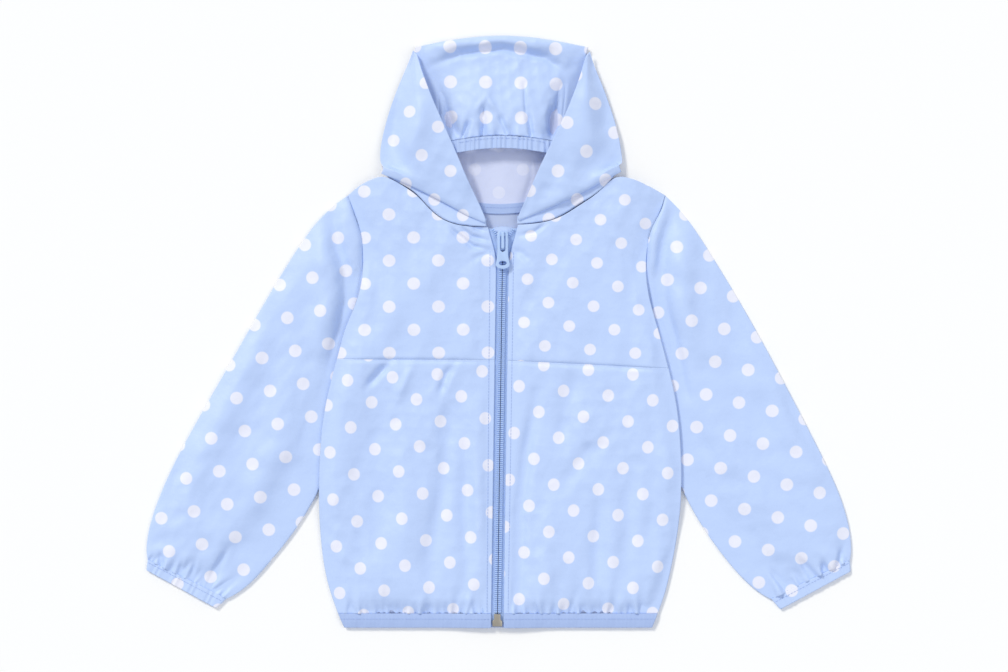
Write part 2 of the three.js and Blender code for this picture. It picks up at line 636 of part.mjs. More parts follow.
// The crown starts at the brim seam, sinks behind the hood sides and rolls over at the top.
function hoodCrown() {
  const columns = 18;
  const grid = CROWN_SECTIONS.map((row) =>
    Array.from({ length: columns + 1 }, (_, i) => {
      const t = i / columns;
      const arch = Math.sin(Math.PI * t);
      const z = mix(row.edgeZ, row.midZ, smooth(arch * 1.3));
      const bow = row.sideDrop * (arch - 1);
      return new THREE.Vector3(mix(row.right, row.left, t), row.y + bow, z);
    }),
  );
  return wall(grid);
}

function hoodBrim() {
  const start = (t) => new THREE.Vector3(BRIM.right - 2 * t, 146.4 - BRIM.bow + (BRIM.width - SEAM_GAP - 0.4) * t, 0);
  const end = (t) => new THREE.Vector3(BRIM.left + 2 * t, 146.4 - BRIM.bow + (BRIM.width - SEAM_GAP - 0.4) * t, 0);
  const arc = (t, row) => {
    const p = new THREE.Vector3().lerpVectors(start(row), end(row), t);
    p.y += BRIM.bow * Math.sin(Math.PI * t);
    return p;
  };
  const height = (x, y, u) => BRIM.z - 1.3 * (1 - smooth(Math.sin(Math.PI * u) * 1.3));
  return wall(
    patchGrid({ low: (t) => arc(t, 0), high: (t) => arc(t, 1), start, end, across: 14, up: 2, height }),
    BRIM.thick,
  );
}

function neckBinding() {
  const neck = curveOf(BACK_NECK);
  const line = (offset) => (t) => neck(mix(0.12, 0.88, t)).add(new THREE.Vector3(0, offset, 0));
  const [low, high] = [line(-NECK_BINDING / 2), line(NECK_BINDING / 2)];
  const height = () => CLOTH + SEAM_GAP + 0.4;
  return wall(
    patchGrid({ low, high, start: across(low(0), high(0)), end: across(low(1), high(1)), across: 14, up: 2, height }),
    0.8,
  );
}

// ---------------------------------------------------------------------------------------------
// Zip
// ---------------------------------------------------------------------------------------------

// How far each half of the chain stands from the centre line: closed, then parting in the slider.
const parting = (y) => 0.15 + 1.5 * smooth((y - 70) / 5) + 5.6 * smooth((y - 73) / 12);

function zipStrip(side, inner, outer, y0, y1, z, thick, up) {
  const sign = side === "right" ? -1 : 1;
  const edge = (offset) => (t) => {
    const y = mix(y0, y1, t);
    return new THREE.Vector3(zipX(y) + sign * (parting(y) + offset), y, 0);
  };
  const [start, end] = [edge(inner), edge(outer)];
  return wall(
    patchGrid({ low: across(start(0), end(0)), high: across(start(1), end(1)), start, end, across: 2, up, height: () => z + thick / 2 }),
    thick,
  );
}

const zipTape = (side) =>
  zipStrip(side, 0.1, ZIP.tapeWidth, HEM_Y + 2.5, 83, ZIP.tapeZ, ZIP.tapeThick, 30);
const zipCoil = (side) =>
  zipStrip(side, 0, ZIP.chainHalf - 0.15, -223.5, 82, ZIP.coilZ, ZIP.coilThick, 30);

function zipGuard() {
  const [low, high] = [HEM_Y + 2.5, GUARD.topY];
  const edge = (sign) => (t) => {
    const y = mix(low, high - 2.5, t);
    return new THREE.Vector3(zipX(y) + sign * GUARD.halfWidth, y, 0);
  };
  const [start, end] = [edge(-1), edge(1)];
  const top = curveOf([start(1), { x: zipX(high), y: high }, end(1)]);
  return wall(
    patchGrid({ low: across(start(0), end(0)), high: top, start, end, across: 6, up: 12, height: () => GUARD.z + GUARD.thick / 2 }),
    GUARD.thick,
  );
}

// Makes a solid of a closed geometry, and a geometry of a solid.
function solidOf(geometry) {
  const bare = geometry.clone();
  bare.deleteAttribute("normal");
  bare.deleteAttribute("uv");
  const merged = mergeVertices(bare, 1e-4);
  return new wasm.Manifold(
    new wasm.Mesh({
      numProp: 3,
      vertProperties: merged.attributes.position.array,
      triVerts: new Uint32Array(merged.index.array),
    }),
  );
}

function geometryOf(solid) {
  const mesh = solid.getMesh();
  const geometry = new THREE.BufferGeometry();
  geometry.setAttribute("position", new THREE.BufferAttribute(new Float32Array(mesh.vertProperties), 3));
  geometry.setIndex(new THREE.BufferAttribute(new Uint32Array(mesh.triVerts), 1));
  geometry.computeVertexNormals();
  return geometry;
}

// A plate between two heights from a plan outline, with any holes.
function plate(outline, z0, z1, holes = []) {
  const shape = new THREE.Shape(outline.map(([x, y]) => new THREE.Vector2(x, y)));
  shape.holes = holes;
  return new THREE.ExtrudeGeometry(shape, { depth: z1 - z0, bevelEnabled: false, curveSegments: 8 }).translate(0, 0, z0);
}

const SLIDER = {
  centreX: 3.35,
  lowY: 65,
  highY: 80.4,
  lowHalf: 3.9, // half its width where the closed chain leaves it
  highHalf: 4.9, // and at its shoulders
  lowerPlateZ: 2.1,
  upperPlateZ: 6.1,
  plateThick: 0.8,
  flangeDrop: 2.0,
  flangeEndY: 73,
  bridgeLowY: 66,
  bridgeHighY: 80,
  bridgeHalf: 1.1,
  bridgeTopZ: 11,
  bridgeThick: 1.0,
  post: { lowY: 75.5, highY: 78.5, half: 0.8 },
};
const PULL = {
  axisY: 77.2,
  axisZ: 8.4,
  endY: 50.2,
  thick: 1.4,
  barHalf: 1.0, // half the bar under the bridge
  slotHalf: 2.0,
  slotEndY: 63.8,
  topHalf: 4,
  waistHalf: 4.2,
  waistY: 62,
  endHalf: 5.5,
  hole: { y: 54.8, halfX: 3.2, halfY: 1.8 },
};

function slider() {
  const s = SLIDER;
  const outline = [
    [s.centreX - s.lowHalf, s.lowY],
    [s.centreX + s.lowHalf, s.lowY],
    [s.centreX + s.highHalf, s.flangeEndY],
    [s.centreX + s.highHalf - 0.9, s.highY],
    [s.centreX - s.highHalf + 0.9, s.highY],
    [s.centreX - s.highHalf, s.flangeEndY],
  ];
  const upper = plate(outline, s.upperPlateZ, s.upperPlateZ + s.plateThick);
  const lower = plate(outline, s.lowerPlateZ, s.lowerPlateZ + s.plateThick);
  const post = plate(
    [
      [s.centreX - s.post.half, s.post.lowY],
      [s.centreX + s.post.half, s.post.lowY],
      [s.centreX + s.post.half, s.post.highY],
      [s.centreX - s.post.half, s.post.highY],
    ],
    s.lowerPlateZ + 0.1,
    s.upperPlateZ + 0.1,
  );
  const parts = [upper, lower, post];
  for (const sign of [-1, 1]) {
    parts.push(
      plate(
        [
          [s.centreX + sign * s.lowHalf, s.lowY],
          [s.centreX + sign * s.highHalf, s.flangeEndY],
          [s.centreX + sign * (s.highHalf - 0.5), s.flangeEndY],
          [s.centreX + sign * (s.lowHalf - 0.5), s.lowY],
        ].slice(0, 4),
        s.upperPlateZ - s.flangeDrop,
        s.upperPlateZ + 0.1,
      ),
    );
  }
  // The bridge is an arch in a plane along the chain, drawn as (y, z) and stood up.
  const plateTop = s.upperPlateZ + s.plateThick - 0.1;
  const arch = new THREE.Shape();
  arch.moveTo(s.bridgeLowY, plateTop);
  arch.lineTo(s.bridgeLowY, s.bridgeTopZ - 1.2);
  arch.quadraticCurveTo(s.bridgeLowY, s.bridgeTopZ, s.bridgeLowY + 1.6, s.bridgeTopZ);
  arch.lineTo(s.bridgeHighY - 1.6, s.bridgeTopZ);
  arch.quadraticCurveTo(s.bridgeHighY, s.bridgeTopZ, s.bridgeHighY, s.bridgeTopZ - 1.2);
  arch.lineTo(s.bridgeHighY, plateTop);
  arch.lineTo(s.bridgeHighY - s.bridgeThick, plateTop);
  arch.lineTo(s.bridgeHighY - s.bridgeThick, s.bridgeTopZ - s.bridgeThick);
  arch.lineTo(s.bridgeLowY + s.bridgeThick, s.bridgeTopZ - s.bridgeThick);
  arch.lineTo(s.bridgeLowY + s.bridgeThick, plateTop);
  arch.closePath();
  const bridge = new THREE.ExtrudeGeometry(arch, {
    depth: 2 * s.bridgeHalf,
    bevelEnabled: false,
    curveSegments: 4,
  });
  // Shape axes (x, y, z) become the frame's (y, z, x).
  const stand = new THREE.Matrix4().makeBasis(
    new THREE.Vector3(0, 1, 0),
    new THREE.Vector3(0, 0, 1),
    new THREE.Vector3(1, 0, 0),
  );
  bridge.applyMatrix4(stand).translate(s.centreX - s.bridgeHalf, 0, 0);
  parts.push(bridge);
  const joined = parts.map(solidOf).reduce((sum, part) => sum.add(part));
  return geometryOf(joined);
}

// The pull tab is drawn about its hinge, so that it could be turned there.
function pullTab() {
  const p = PULL;
  const y = (at) => at - p.axisY;
  const shape = new THREE.Shape();
  shape.moveTo(-p.topHalf + 1.4, p.barHalf);
  shape.lineTo(p.topHalf - 1.4, p.barHalf);
  shape.quadraticCurveTo(p.topHalf, p.barHalf, p.topHalf, p.barHalf - 1.6);
  shape.lineTo(p.waistHalf, y(p.waistY));
  shape.quadraticCurveTo(p.waistHalf + 0.2, y(p.waistY - 2), p.endHalf, y(p.endY + 4.6));
  shape.absellipse(0, y(p.endY + 3.4), p.endHalf, 3.4, 0, -Math.PI, true);
  shape.quadraticCurveTo(-p.waistHalf - 0.2, y(p.waistY - 2), -p.waistHalf, y(p.waistY));
  shape.lineTo(-p.topHalf, p.barHalf - 1.6);
  shape.quadraticCurveTo(-p.topHalf, p.barHalf, -p.topHalf + 1.4, p.barHalf);
  const slot = new THREE.Path();
  slot.moveTo(-p.slotHalf, -p.barHalf);
  slot.lineTo(-p.slotHalf, y(p.slotEndY) + p.slotHalf);
  slot.absarc(0, y(p.slotEndY) + p.slotHalf, p.slotHalf, Math.PI, 2 * Math.PI, false);
  slot.lineTo(p.slotHalf, -p.barHalf);
  slot.closePath();
  const hole = new THREE.Path();
  hole.absellipse(0, y(p.hole.y), p.hole.halfX, p.hole.halfY, 0, 2 * Math.PI, false);
  shape.holes = [slot, hole];
  const geometry = new THREE.ExtrudeGeometry(shape, { depth: p.thick, bevelEnabled: false, curveSegments: 10 });
  return geometry.translate(0, 0, -p.thick / 2);
}

// Metal end of the zip: the retainer box holds the pin of the other half.
const BOX = { lowY: -235, highY: -225, wide: 4, narrow: 2.6, stepY: -230.6, z0: 4.0, z1: 6.4 };
function retainerBox() {
  const x = zipX(BOX.lowY);
  return plate(
    [
      [x - BOX.wide, BOX.lowY],
      [x + BOX.wide, BOX.lowY],
      [x + BOX.wide, BOX.stepY],
      [x + BOX.narrow, BOX.stepY + 1.2],
      [x + BOX.narrow, BOX.highY],
      [x - BOX.narrow, BOX.highY],
      [x - BOX.narrow, BOX.stepY + 1.2],
      [x - BOX.wide, BOX.stepY],
    ],
    BOX.z0,
    BOX.z1,
  );
}

// ---------------------------------------------------------------------------------------------
// Finishes and the tree of pieces
// ---------------------------------------------------------------------------------------------
const finish = (color, roughness, metalness = 0) => new THREE.MeshStandardMaterial({ color, roughness, metalness });
const SHELL = finish(0xb8cdf8, 0.6);
const BAND = finish(0xa9bfe9, 0.7);
const TAPE = finish(0x9dbbe8, 0.8);
const COIL = finish(0x86a8da, 0.45);
const ENAMEL = finish(0xb4cdf0, 0.35);
const METAL = finish(0x8d8474, 0.4, 1);

const jacket = new THREE.Group();

function add(name, geometry, material, at = [0, 0, 0]) {
  const mesh = new THREE.Mesh(geometry, material);
  mesh.name = name;
  mesh.position.set(...at);
  jacket.add(mesh);
}

add("back_panel", backPanel(), SHELL);
add("zip_guard", zipGuard(), SHELL);
add(
  "hem_band_back",
  hemBand(HEM_Y, HEM.seamY, (y) => sideX("right", y) + 1, (y) => sideX("left", y) - 1, () => CLOTH / 2, CLOTH),
  BAND,
);
for (const side of ["right", "left"]) {
  add(`front_lower_${side}`, frontLower(side), SHELL);
  add(`front_yoke_${side}`, frontYoke(side), SHELL);
  add(`sleeve_${side}`, sleeve(side), SHELL);
  add(`cuff_${side}`, cuff(side), SHELL);
  add(
    `hem_band_front_${side}`,
    hemBand(HEM_Y, HEM.seamY, (y) => sideX(side, y), (y) => frontEdgeX(side, y), hemFrontMid, HEM.thick),
    BAND,
  );
  add(`hood_side_${side}`, hoodSide(side), SHELL);
  add(`zip_tape_${side}`, zipTape(side), TAPE);
  add(`zip_coil_${side}`, zipCoil(side), COIL);
}
add("hood_back", hoodBack(), SHELL);
add("hood_crown", hoodCrown(), SHELL);
add("hood_brim", hoodBrim(), BAND);
add("neck_binding", neckBinding(), BAND);
add("zip_slider", slider(), ENAMEL);
add("pull_tab", pullTab(), ENAMEL, [SLIDER.centreX, PULL.axisY, PULL.axisZ]);
add("retainer_box", retainerBox(), METAL);

// The overall box is centred on the origin.
jacket.position.set(-0.3, -0.35, 0);

export default jacket;
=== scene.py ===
"""A toddler's hooded windbreaker jacket laid flat: light blue nylon with white dots, zip done up."""

import math
import random

import bmesh
import bpy
import numpy as np
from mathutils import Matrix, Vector


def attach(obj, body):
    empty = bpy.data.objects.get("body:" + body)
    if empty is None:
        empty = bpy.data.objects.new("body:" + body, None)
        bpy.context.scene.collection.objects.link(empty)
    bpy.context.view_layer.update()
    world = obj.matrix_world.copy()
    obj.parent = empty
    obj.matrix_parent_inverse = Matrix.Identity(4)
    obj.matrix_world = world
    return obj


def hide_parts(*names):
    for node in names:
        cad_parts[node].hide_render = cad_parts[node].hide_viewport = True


bl_info = {
    "name": "Dotted windbreaker jacket",
    "version": (1, 0, 0),
    "blender": (4, 2, 0),
    "location": "3D View > Sidebar > Jacket",
    "description": "Builds a hooded windbreaker laid flat, piece by piece, on its packed frame",
    "category": "Add Mesh",
}

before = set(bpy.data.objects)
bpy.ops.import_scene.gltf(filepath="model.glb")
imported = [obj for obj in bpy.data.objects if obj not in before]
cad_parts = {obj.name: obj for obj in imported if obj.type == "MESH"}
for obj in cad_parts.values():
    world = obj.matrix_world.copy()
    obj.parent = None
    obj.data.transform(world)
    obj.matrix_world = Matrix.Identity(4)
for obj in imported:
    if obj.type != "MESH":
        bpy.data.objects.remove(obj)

MM = 0.001
BODY = "jacket"
SEED = 20
MERGE = 2e-6  # points nearer than this, in metres, are one
RIM_ANGLE = 62  # degrees; a steeper edge is the rim of a wall
CREASE_EDGE = 55  # degrees; cloth steeper than this shades as an edge
FIT_MARGIN = 1.02  # how much a sheet's box exceeds its area at least
TURN_LENGTH = 0.0024  # metres, one coil turn across the chain
THREAD_RADIUS = 0.00019  # metres
STITCH_SHOWN = 0.0019  # metres of each stitch that lie on the cloth
SEAM_GROWTH = 0.22  # millimetres that a piece's rim grows to close its seams
SLEEVE_GROWTH = 0.7  # the same for a sleeve, whose gap at the armhole is wider
STITCH_STEP = 1.5  # millimetres between the points of a row of stitches

# How the rows of dots lie on each piece: their turn in degrees, the pitch of the dots and of the rows,
# and how far they are slid along and across, in millimetres.
DOT_ROWS = {
    "front_yoke_right": {"turn": 0.2, "pitch": 39.3, "rows": 18.4, "along": 8.7, "across": 16.8},
    "front_yoke_left": {"turn": -4.6, "pitch": 36.1, "rows": 17.3, "along": 34.7, "across": 8.5},
    "front_lower_right": {"turn": 3.8, "pitch": 35.8, "rows": 18.8, "along": 15.4, "across": 30.8},
    "front_lower_left": {"turn": -6.0, "pitch": 35.7, "rows": 18.8, "along": 15.1, "across": 4.1},
    "sleeve_right": {"turn": -32.2, "pitch": 38.7, "rows": 18.9, "along": 13.1, "across": 24.0},
    "cuff_right": {"turn": -32.2, "pitch": 38.7, "rows": 18.9, "along": 13.1, "across": 24.0},
    "sleeve_left": {"turn": 30.2, "pitch": 38.9, "rows": 18.9, "along": 18.6, "across": 32.0},
    "cuff_left": {"turn": 30.2, "pitch": 38.9, "rows": 18.9, "along": 18.6, "across": 32.0},
    "hood_side_right": {"turn": 15.7, "pitch": 37.1, "rows": 18.1, "along": 2.5, "across": 11.6},
    "hood_side_left": {"turn": -10.6, "pitch": 38.7, "rows": 19.4, "along": 35.3, "across": 40.5},
    "hood_crown": {"turn": -45.2, "pitch": 40.4, "rows": 19.5, "along": 27.0, "across": 23.6},
}
PLAIN_ROWS = {"turn": 0.0, "pitch": 38.5, "rows": 18.5, "along": 0.0, "across": 0.0}

# The body's side edges by height, to keep its folds away from them.
SIDE_EDGES = {
    "y": (-236, -170, -108, -14, 20, 57, 84, 109),
    "right": (-123, -141, -143, -127, -115, -108, -111, -120),
    "left": (122, 141, 146, 131, 122, 117, 122, 133),
}

# Soft folds pressed into the fronts: their line, half width and depth, or height if negative.
FRONT_FOLDS = [
    ([(-87.1, -24.4), (-95.1, -32.4), (-106.3, -45.2)], 3.2, 1.7),
    ([(-69.5, -27.6), (-74.3, -38.8), (-80.7, -53.2)], 4.0, -0.9),
    ([(-35.1, -25.2), (-41.5, -34.0), (-47.9, -51.6)], 3.4, 1.4),
    ([(-91.9, -48.4), (-98.3, -94.8), (-96.7, -170.8)], 11.0, 1.5),
    ([(-111.1, -70.8), (-114.3, -134.8), (-109.5, -198.8)], 9.0, 0.9),
    ([(-37.5, -53.2), (-43.1, -110.8), (-55.1, -182.8), (-53.5, -219.6)], 7.5, 1.7),
    ([(-27.9, -70.8), (-26.3, -134.8), (-24.7, -218.0)], 6.0, 1.6),
    ([(-75.1, -70.8), (-75.9, -134.8), (-72.7, -198.8)], 9.0, -1.0),
    ([(-15.1, -54.8), (-16.7, -118.8), (-13.5, -198.8)], 5.0, -0.9),
    ([(29.7, -48.4), (22.5, -94.8), (16.9, -147.6), (16.9, -224.3)], 5.0, 2.0),
    ([(60.9, -27.6), (53.7, -62.8), (48.9, -94.8)], 8.0, 1.3),
    ([(82.5, -83.5), (66.5, -102.8), (47.3, -126.8)], 8.0, 1.2),
    ([(103.3, -110.8), (104.9, -150.8), (98.5, -190.8)], 8.0, 1.3),
    ([(80.9, -118.8), (79.3, -158.8), (74.5, -224.3)], 6.5, 1.2),
    ([(122.5, -54.8), (124.1, -110.8), (117.7, -182.8)], 8.0, 1.0),
    ([(39.3, -134.8), (36.9, -182.8), (39.3, -219.6)], 7.0, -1.0),
    ([(90.5, -134.8), (90.5, -182.8), (88.9, -214.8)], 7.0, -0.9),
    ([(-101.5, 81.3), (-95.1, 33.2), (-101.5, -16.4)], 9.0, 0.9),
    ([(-55.1, 65.3), (-59.9, 25.2), (-53.5, -14.8)], 12.0, -0.8),
    ([(112.9, 73.3), (103.3, 25.2), (108.1, -19.6)], 9.0, 1.0),
    ([(48.9, 65.3), (58.5, 25.2), (53.7, -16.4)], 13.0, -0.7),
    ([(-42.3, 85.3), (-34.3, 78.1), (-20.7, 67.7), (-7.9, 65.3)], 2.2, 1.3),
    ([(-32.7, 84.5), (-21.5, 75.7), (-8.7, 72.5)], 1.8, 1.1),
    ([(-26.3, 87.7), (-18.3, 82.1), (-10.3, 80.5)], 1.5, 0.9),
    ([(-23.1, 55.6), (-15.1, 60.5), (-5.5, 63.6)], 3.0, 0.8),
    ([(37.7, 86.1), (28.1, 78.9), (16.9, 76.5)], 2.0, 0.9),
    ([(24.9, 55.6), (18.5, 62.1), (10.5, 65.3)], 3.0, 0.7),
]
# Seams: a fine valley where two pieces are joined.
YOKE_SEAMS = [
    ([(-127.9, -22.8), (-79.1, -22.8), (-3.1, -24.0)], 1.6, 0.7),
    ([(7.3, -24.0), (80.9, -27.6), (135.3, -30.8)], 1.6, 0.7),
]
RIGHT_ARMHOLE = [
    (-121.5, 113.3), (-116.7, 97.3), (-111.1, 81.3), (-107.9, 65.3),
    (-107.9, 50.1), (-109.5, 38.9), (-113.5, 23.6), (-119.1, 7.7),
]
LEFT_ARMHOLE = [
    (133.7, 108.5), (126.5, 92.5), (121.7, 78.9), (118.5, 66.9),
    (116.9, 48.5), (118.5, 34.0), (121.7, 18.1), (127.3, 1.2),
]
ARMHOLE_SEAMS = [
    (RIGHT_ARMHOLE, 2.0, 1.3),
    (LEFT_ARMHOLE, 2.0, 1.3),
]
# Folds of the sleeves beside their armholes and down their length.
SLEEVE_FOLDS = [
    (
        [(-133.5, 100.5), (-130.3, 73.3), (-123.1, 50.9), (-119.9, 25.2), (-124.7, 1.2), (-133.5, -27.6)],
        4.4,
        3.6,
    ),
    ([(-144.7, 87.7), (-141.5, 57.2), (-135.1, 25.2), (-144.7, -14.8)], 9.0, -2.0),
    (
        [(140.9, 100.5), (132.1, 73.3), (128.9, 45.2), (132.1, 17.2), (140.1, -14.8), (148.1, -46.8)],
        4.4,
        3.4,
    ),
    ([(152.9, 79.7), (146.5, 55.6), (148.1, 17.2), (157.7, -22.8)], 9.0, -2.0),
    ([(-159.1, 25.2), (-189.5, -46.8), (-221.5, -118.8)], 13.0, 1.0),
    ([(-189.5, 1.2), (-221.5, -70.8), (-251.1, -134.8)], 13.0, -1.2),
    ([(-167.1, -70.8), (-189.5, -118.8), (-213.5, -166.8)], 9.0, -0.9),
    ([(168.9, 25.2), (199.3, -46.8), (228.9, -118.8)], 13.0, 1.0),
    ([(196.9, 1.2), (228.1, -70.8), (255.3, -134.8)], 13.0, -1.2),
    ([(172.9, -70.8), (196.9, -118.8), (220.9, -166.8)], 9.0, -0.9),
    ([(-269.5, -177.2), (-271.1, -186.0)], 1.8, 1.4),
    ([(-252.7, -182.8), (-255.1, -192.3), (-257.5, -203.6)], 2.0, 1.6),
    ([(-242.3, -182.8), (-245.5, -195.6), (-249.5, -208.3)], 2.0, 1.6),
    ([(-216.7, -173.2), (-226.3, -191.6), (-235.9, -216.3)], 2.6, 2.0),
    ([(-210.3, -197.2), (-227.9, -207.6), (-235.1, -214.8)], 2.0, 1.6),
    ([(274.5, -173.2), (269.7, -190.8)], 2.0, 1.6),
    ([(258.5, -182.8), (263.3, -203.6)], 2.0, 1.6),
    ([(240.9, -182.8), (247.3, -190.8), (254.5, -199.6)], 2.2, 1.8),
    ([(231.3, -195.6), (241.7, -212.3)], 2.0, 1.5),
    ([(216.9, -190.8), (224.9, -200.3), (233.7, -209.2)], 2.2, 1.7),
]
# Folds of the hood: pleats where the crown goes behind the sides, and slack in the sides.
CROWN_FOLDS = [
    ([(-56.7, 207.7), (-50.3, 188.5), (-42.3, 170.9), (-29.5, 150.1)], 4.4, 3.6),
    ([(58.5, 209.3), (53.7, 191.7), (45.7, 170.9), (40.9, 150.1)], 4.4, 3.8),
    ([(-52.7, 212.5), (-31.1, 222.1), (3.3, 226.1), (36.9, 218.9), (52.1, 207.7)], 3.4, 2.6),
    ([(-19.9, 172.5), (-9.5, 186.9), (-0.7, 171.7)], 3.0, -1.2),
    ([(-12.7, 182.1), (-12.7, 156.5)], 2.0, 1.3),
    ([(0.1, 174.1), (5.7, 159.7), (7.3, 153.3)], 2.0, 1.3),
    ([(23.3, 175.7), (26.5, 151.7)], 2.0, 1.6),
    ([(41.7, 182.1), (42.5, 151.7)], 2.4, 2.2),
    ([(-23.1, 169.3), (-30.3, 150.9)], 2.2, 1.8),
    ([(20.1, 198.1), (21.7, 169.3)], 1.2, 0.7),
]
HOOD_SIDE_FOLDS = [
    ([(-55.1, 193.3), (-64.7, 161.3), (-75.9, 130.9)], 10.0, -1.6),
    ([(-79.1, 185.3), (-82.3, 153.3), (-71.1, 121.3)], 8.0, 1.2),
    ([(-50.3, 145.2), (-43.9, 122.9), (-29.5, 100.5)], 8.0, 1.0),
    ([(68.9, 201.3), (74.5, 161.3), (84.1, 134.1)], 10.0, -1.6),
    ([(83.3, 177.3), (80.9, 148.5), (68.1, 118.1)], 8.0, 1.2),
    ([(50.5, 145.2), (45.7, 124.5), (32.9, 102.1)], 8.0, 1.0),
    ([(-24.7, 122.9), (-18.3, 105.3), (-10.3, 87.7)], 4.0, 0.8),
    ([(28.1, 124.5), (23.3, 105.3), (16.9, 87.7)], 4.0, 0.8),
]
# Inside of the hood: its two seams, a crease beside one of them, and a broad rise in the middle.
HOOD_BACK_FOLDS = [
    ([(-23.1, 143.7), (-21.5, 121.3), (-13.5, 100.5)], 1.3, 0.8),
    ([(26.5, 143.7), (25.7, 121.3), (18.5, 100.5)], 1.3, 0.8),
    ([(29.7, 137.2), (34.5, 124.5)], 2.0, 1.0),
    ([(3.3, 140.5), (3.3, 105.3)], 8.0, -1.0),
]

# Gathered seams, by their two ends.
HEM_SEAM = ((-127.1, -227.6), (128.9, -227.6))
CUFF_SEAMS = {
    "right": ((-280.7, -182.3), (-217.9, -214.0)),
    "left": ((280.1, -182.8), (217.7, -214.3)),
}
BRIM_SEAM = ((-35.9, 148.5), (40.1, 148.5))


def colour_setting(name, description, colour):
    """One colour that the panel shows."""
    return bpy.props.FloatVectorProperty(
        name=name, description=description, subtype="COLOR", size=3, default=colour
    )


def length_setting(name, description, metres):
    """One length that the panel shows."""
    return bpy.props.FloatProperty(name=name, description=description, default=metres, unit="LENGTH")


class JacketCloth(bpy.types.PropertyGroup):
    """Colours and sizes of the cloth."""

    shell: colour_setting("Shell", "Light blue of the nylon", (0.527, 0.665, 0.965))
    dot: colour_setting("Dots", "White of the printed dots", (0.84, 0.85, 0.96))
    wrong_side: colour_setting("Wrong side", "The cloth inside out", (0.66, 0.71, 0.92))
    # Painted shade: the inside back is the nylon's wrong side, made darker for the shade it lies in under the
    # hood and collar.
    inside: colour_setting("Inside back", "Plain cloth behind the neck", (0.49, 0.57, 0.79))
    band: colour_setting("Bands", "Plain blue of the elastic bands", (0.40, 0.52, 0.82))
    # Painted shade: the casings are shell cloth, and their darker blue stands in for the shade of their
    # gathers.
    brim: colour_setting("Casings", "Shell cloth drawn up on elastic", (0.47, 0.60, 0.90))
    dot_size: length_setting("Dot size", "Diameter of a dot", 0.0098)
    dot_pitch: length_setting("Dot pitch", "Between dots of one row", 0.0378)
    row_pitch: length_setting("Row pitch", "Between rows of dots", 0.0185)
    fold_depth: bpy.props.FloatProperty(
        name="Folds", description="Times the tables' fold depths", default=2.1, soft_max=3.0, subtype="FACTOR"
    )
    gather_depth: length_setting("Gathers", "Depth of the gathers at an elastic", 0.0032)


class JacketZip(bpy.types.PropertyGroup):
    """Colours and sizes of the zip and the thread."""

    tape: colour_setting("Tape", "Blue of the zip tape", (0.43, 0.58, 0.89))
    coil: colour_setting("Coil", "Blue of the zip coil", (0.45, 0.61, 0.93))
    enamel: colour_setting("Enamel", "Paint of the slider and pull tab", (0.47, 0.63, 0.92))
    brass: colour_setting("Brass", "Metal at the foot of the zip", (0.36, 0.34, 0.30))
    thread: colour_setting("Thread", "Blue of the sewing thread", (0.36, 0.47, 0.76))
    tooth_pitch: length_setting("Tooth pitch", "Between turns of the coil", 0.0016)
    tooth_radius: length_setting("Tooth radius", "Half the thickness of a turn", 0.00062)
    stitch_length: length_setting("Stitch length", "Between stitches of a seam", 0.0026)


# ---------------------------------------------------------------------------------------------
# Materials
# ---------------------------------------------------------------------------------------------
def new_material(name, colour, roughness, metallic=0.0, sheen=0.0):
    """A plain finish, and its tree and shader."""
    material = bpy.data.materials.new(name)
    material.use_nodes = True
    tree = material.node_tree
    shader = tree.nodes["Principled BSDF"]
    shader.inputs["Base Color"].default_value = (*colour, 1)
    shader.inputs["Roughness"].default_value = roughness
    shader.inputs["Metallic"].default_value = metallic
    shader.inputs["Sheen Weight"].default_value = sheen
    return material, tree, shader


def maths(tree, operation, a, b=None):
    """One Math node; each input is a socket or a number."""
    node = tree.nodes.new("ShaderNodeMath")
    node.operation = operation
    for socket, value in zip(node.inputs, (a, b)):
        if value is None:
            continue
        if isinstance(value, (int, float)):
            socket.default_value = value
        else:
            tree.links.new(value, socket)
    return node.outputs[0]


def add_weave(tree, shader, strength):
    """Fine crumple and weave as a bump on the piece's own map."""
    where = tree.nodes.new("ShaderNodeUVMap")
    where.uv_map = "grain"
    crumple = tree.nodes.new("ShaderNodeTexNoise")
    crumple.inputs["Scale"].default_value = 90
    crumple.inputs["Detail"].default_value = 4
    weave = tree.nodes.new("ShaderNodeTexNoise")
    weave.inputs["Scale"].default_value = 1500
    tree.links.new(where.outputs[0], crumple.inputs["Vector"])
    tree.links.new(where.outputs[0], weave.inputs["Vector"])
    both = maths(tree, "ADD", crumple.outputs[0], maths(tree, "MULTIPLY", weave.outputs[0], 0.12))
    bump = tree.nodes.new("ShaderNodeBump")
    bump.inputs["Strength"].default_value = strength
    bump.inputs["Distance"].default_value = 0.003
    tree.links.new(both, bump.inputs["Height"])
    tree.links.new(bump.outputs[0], shader.inputs["Normal"])
    return where.outputs[0]


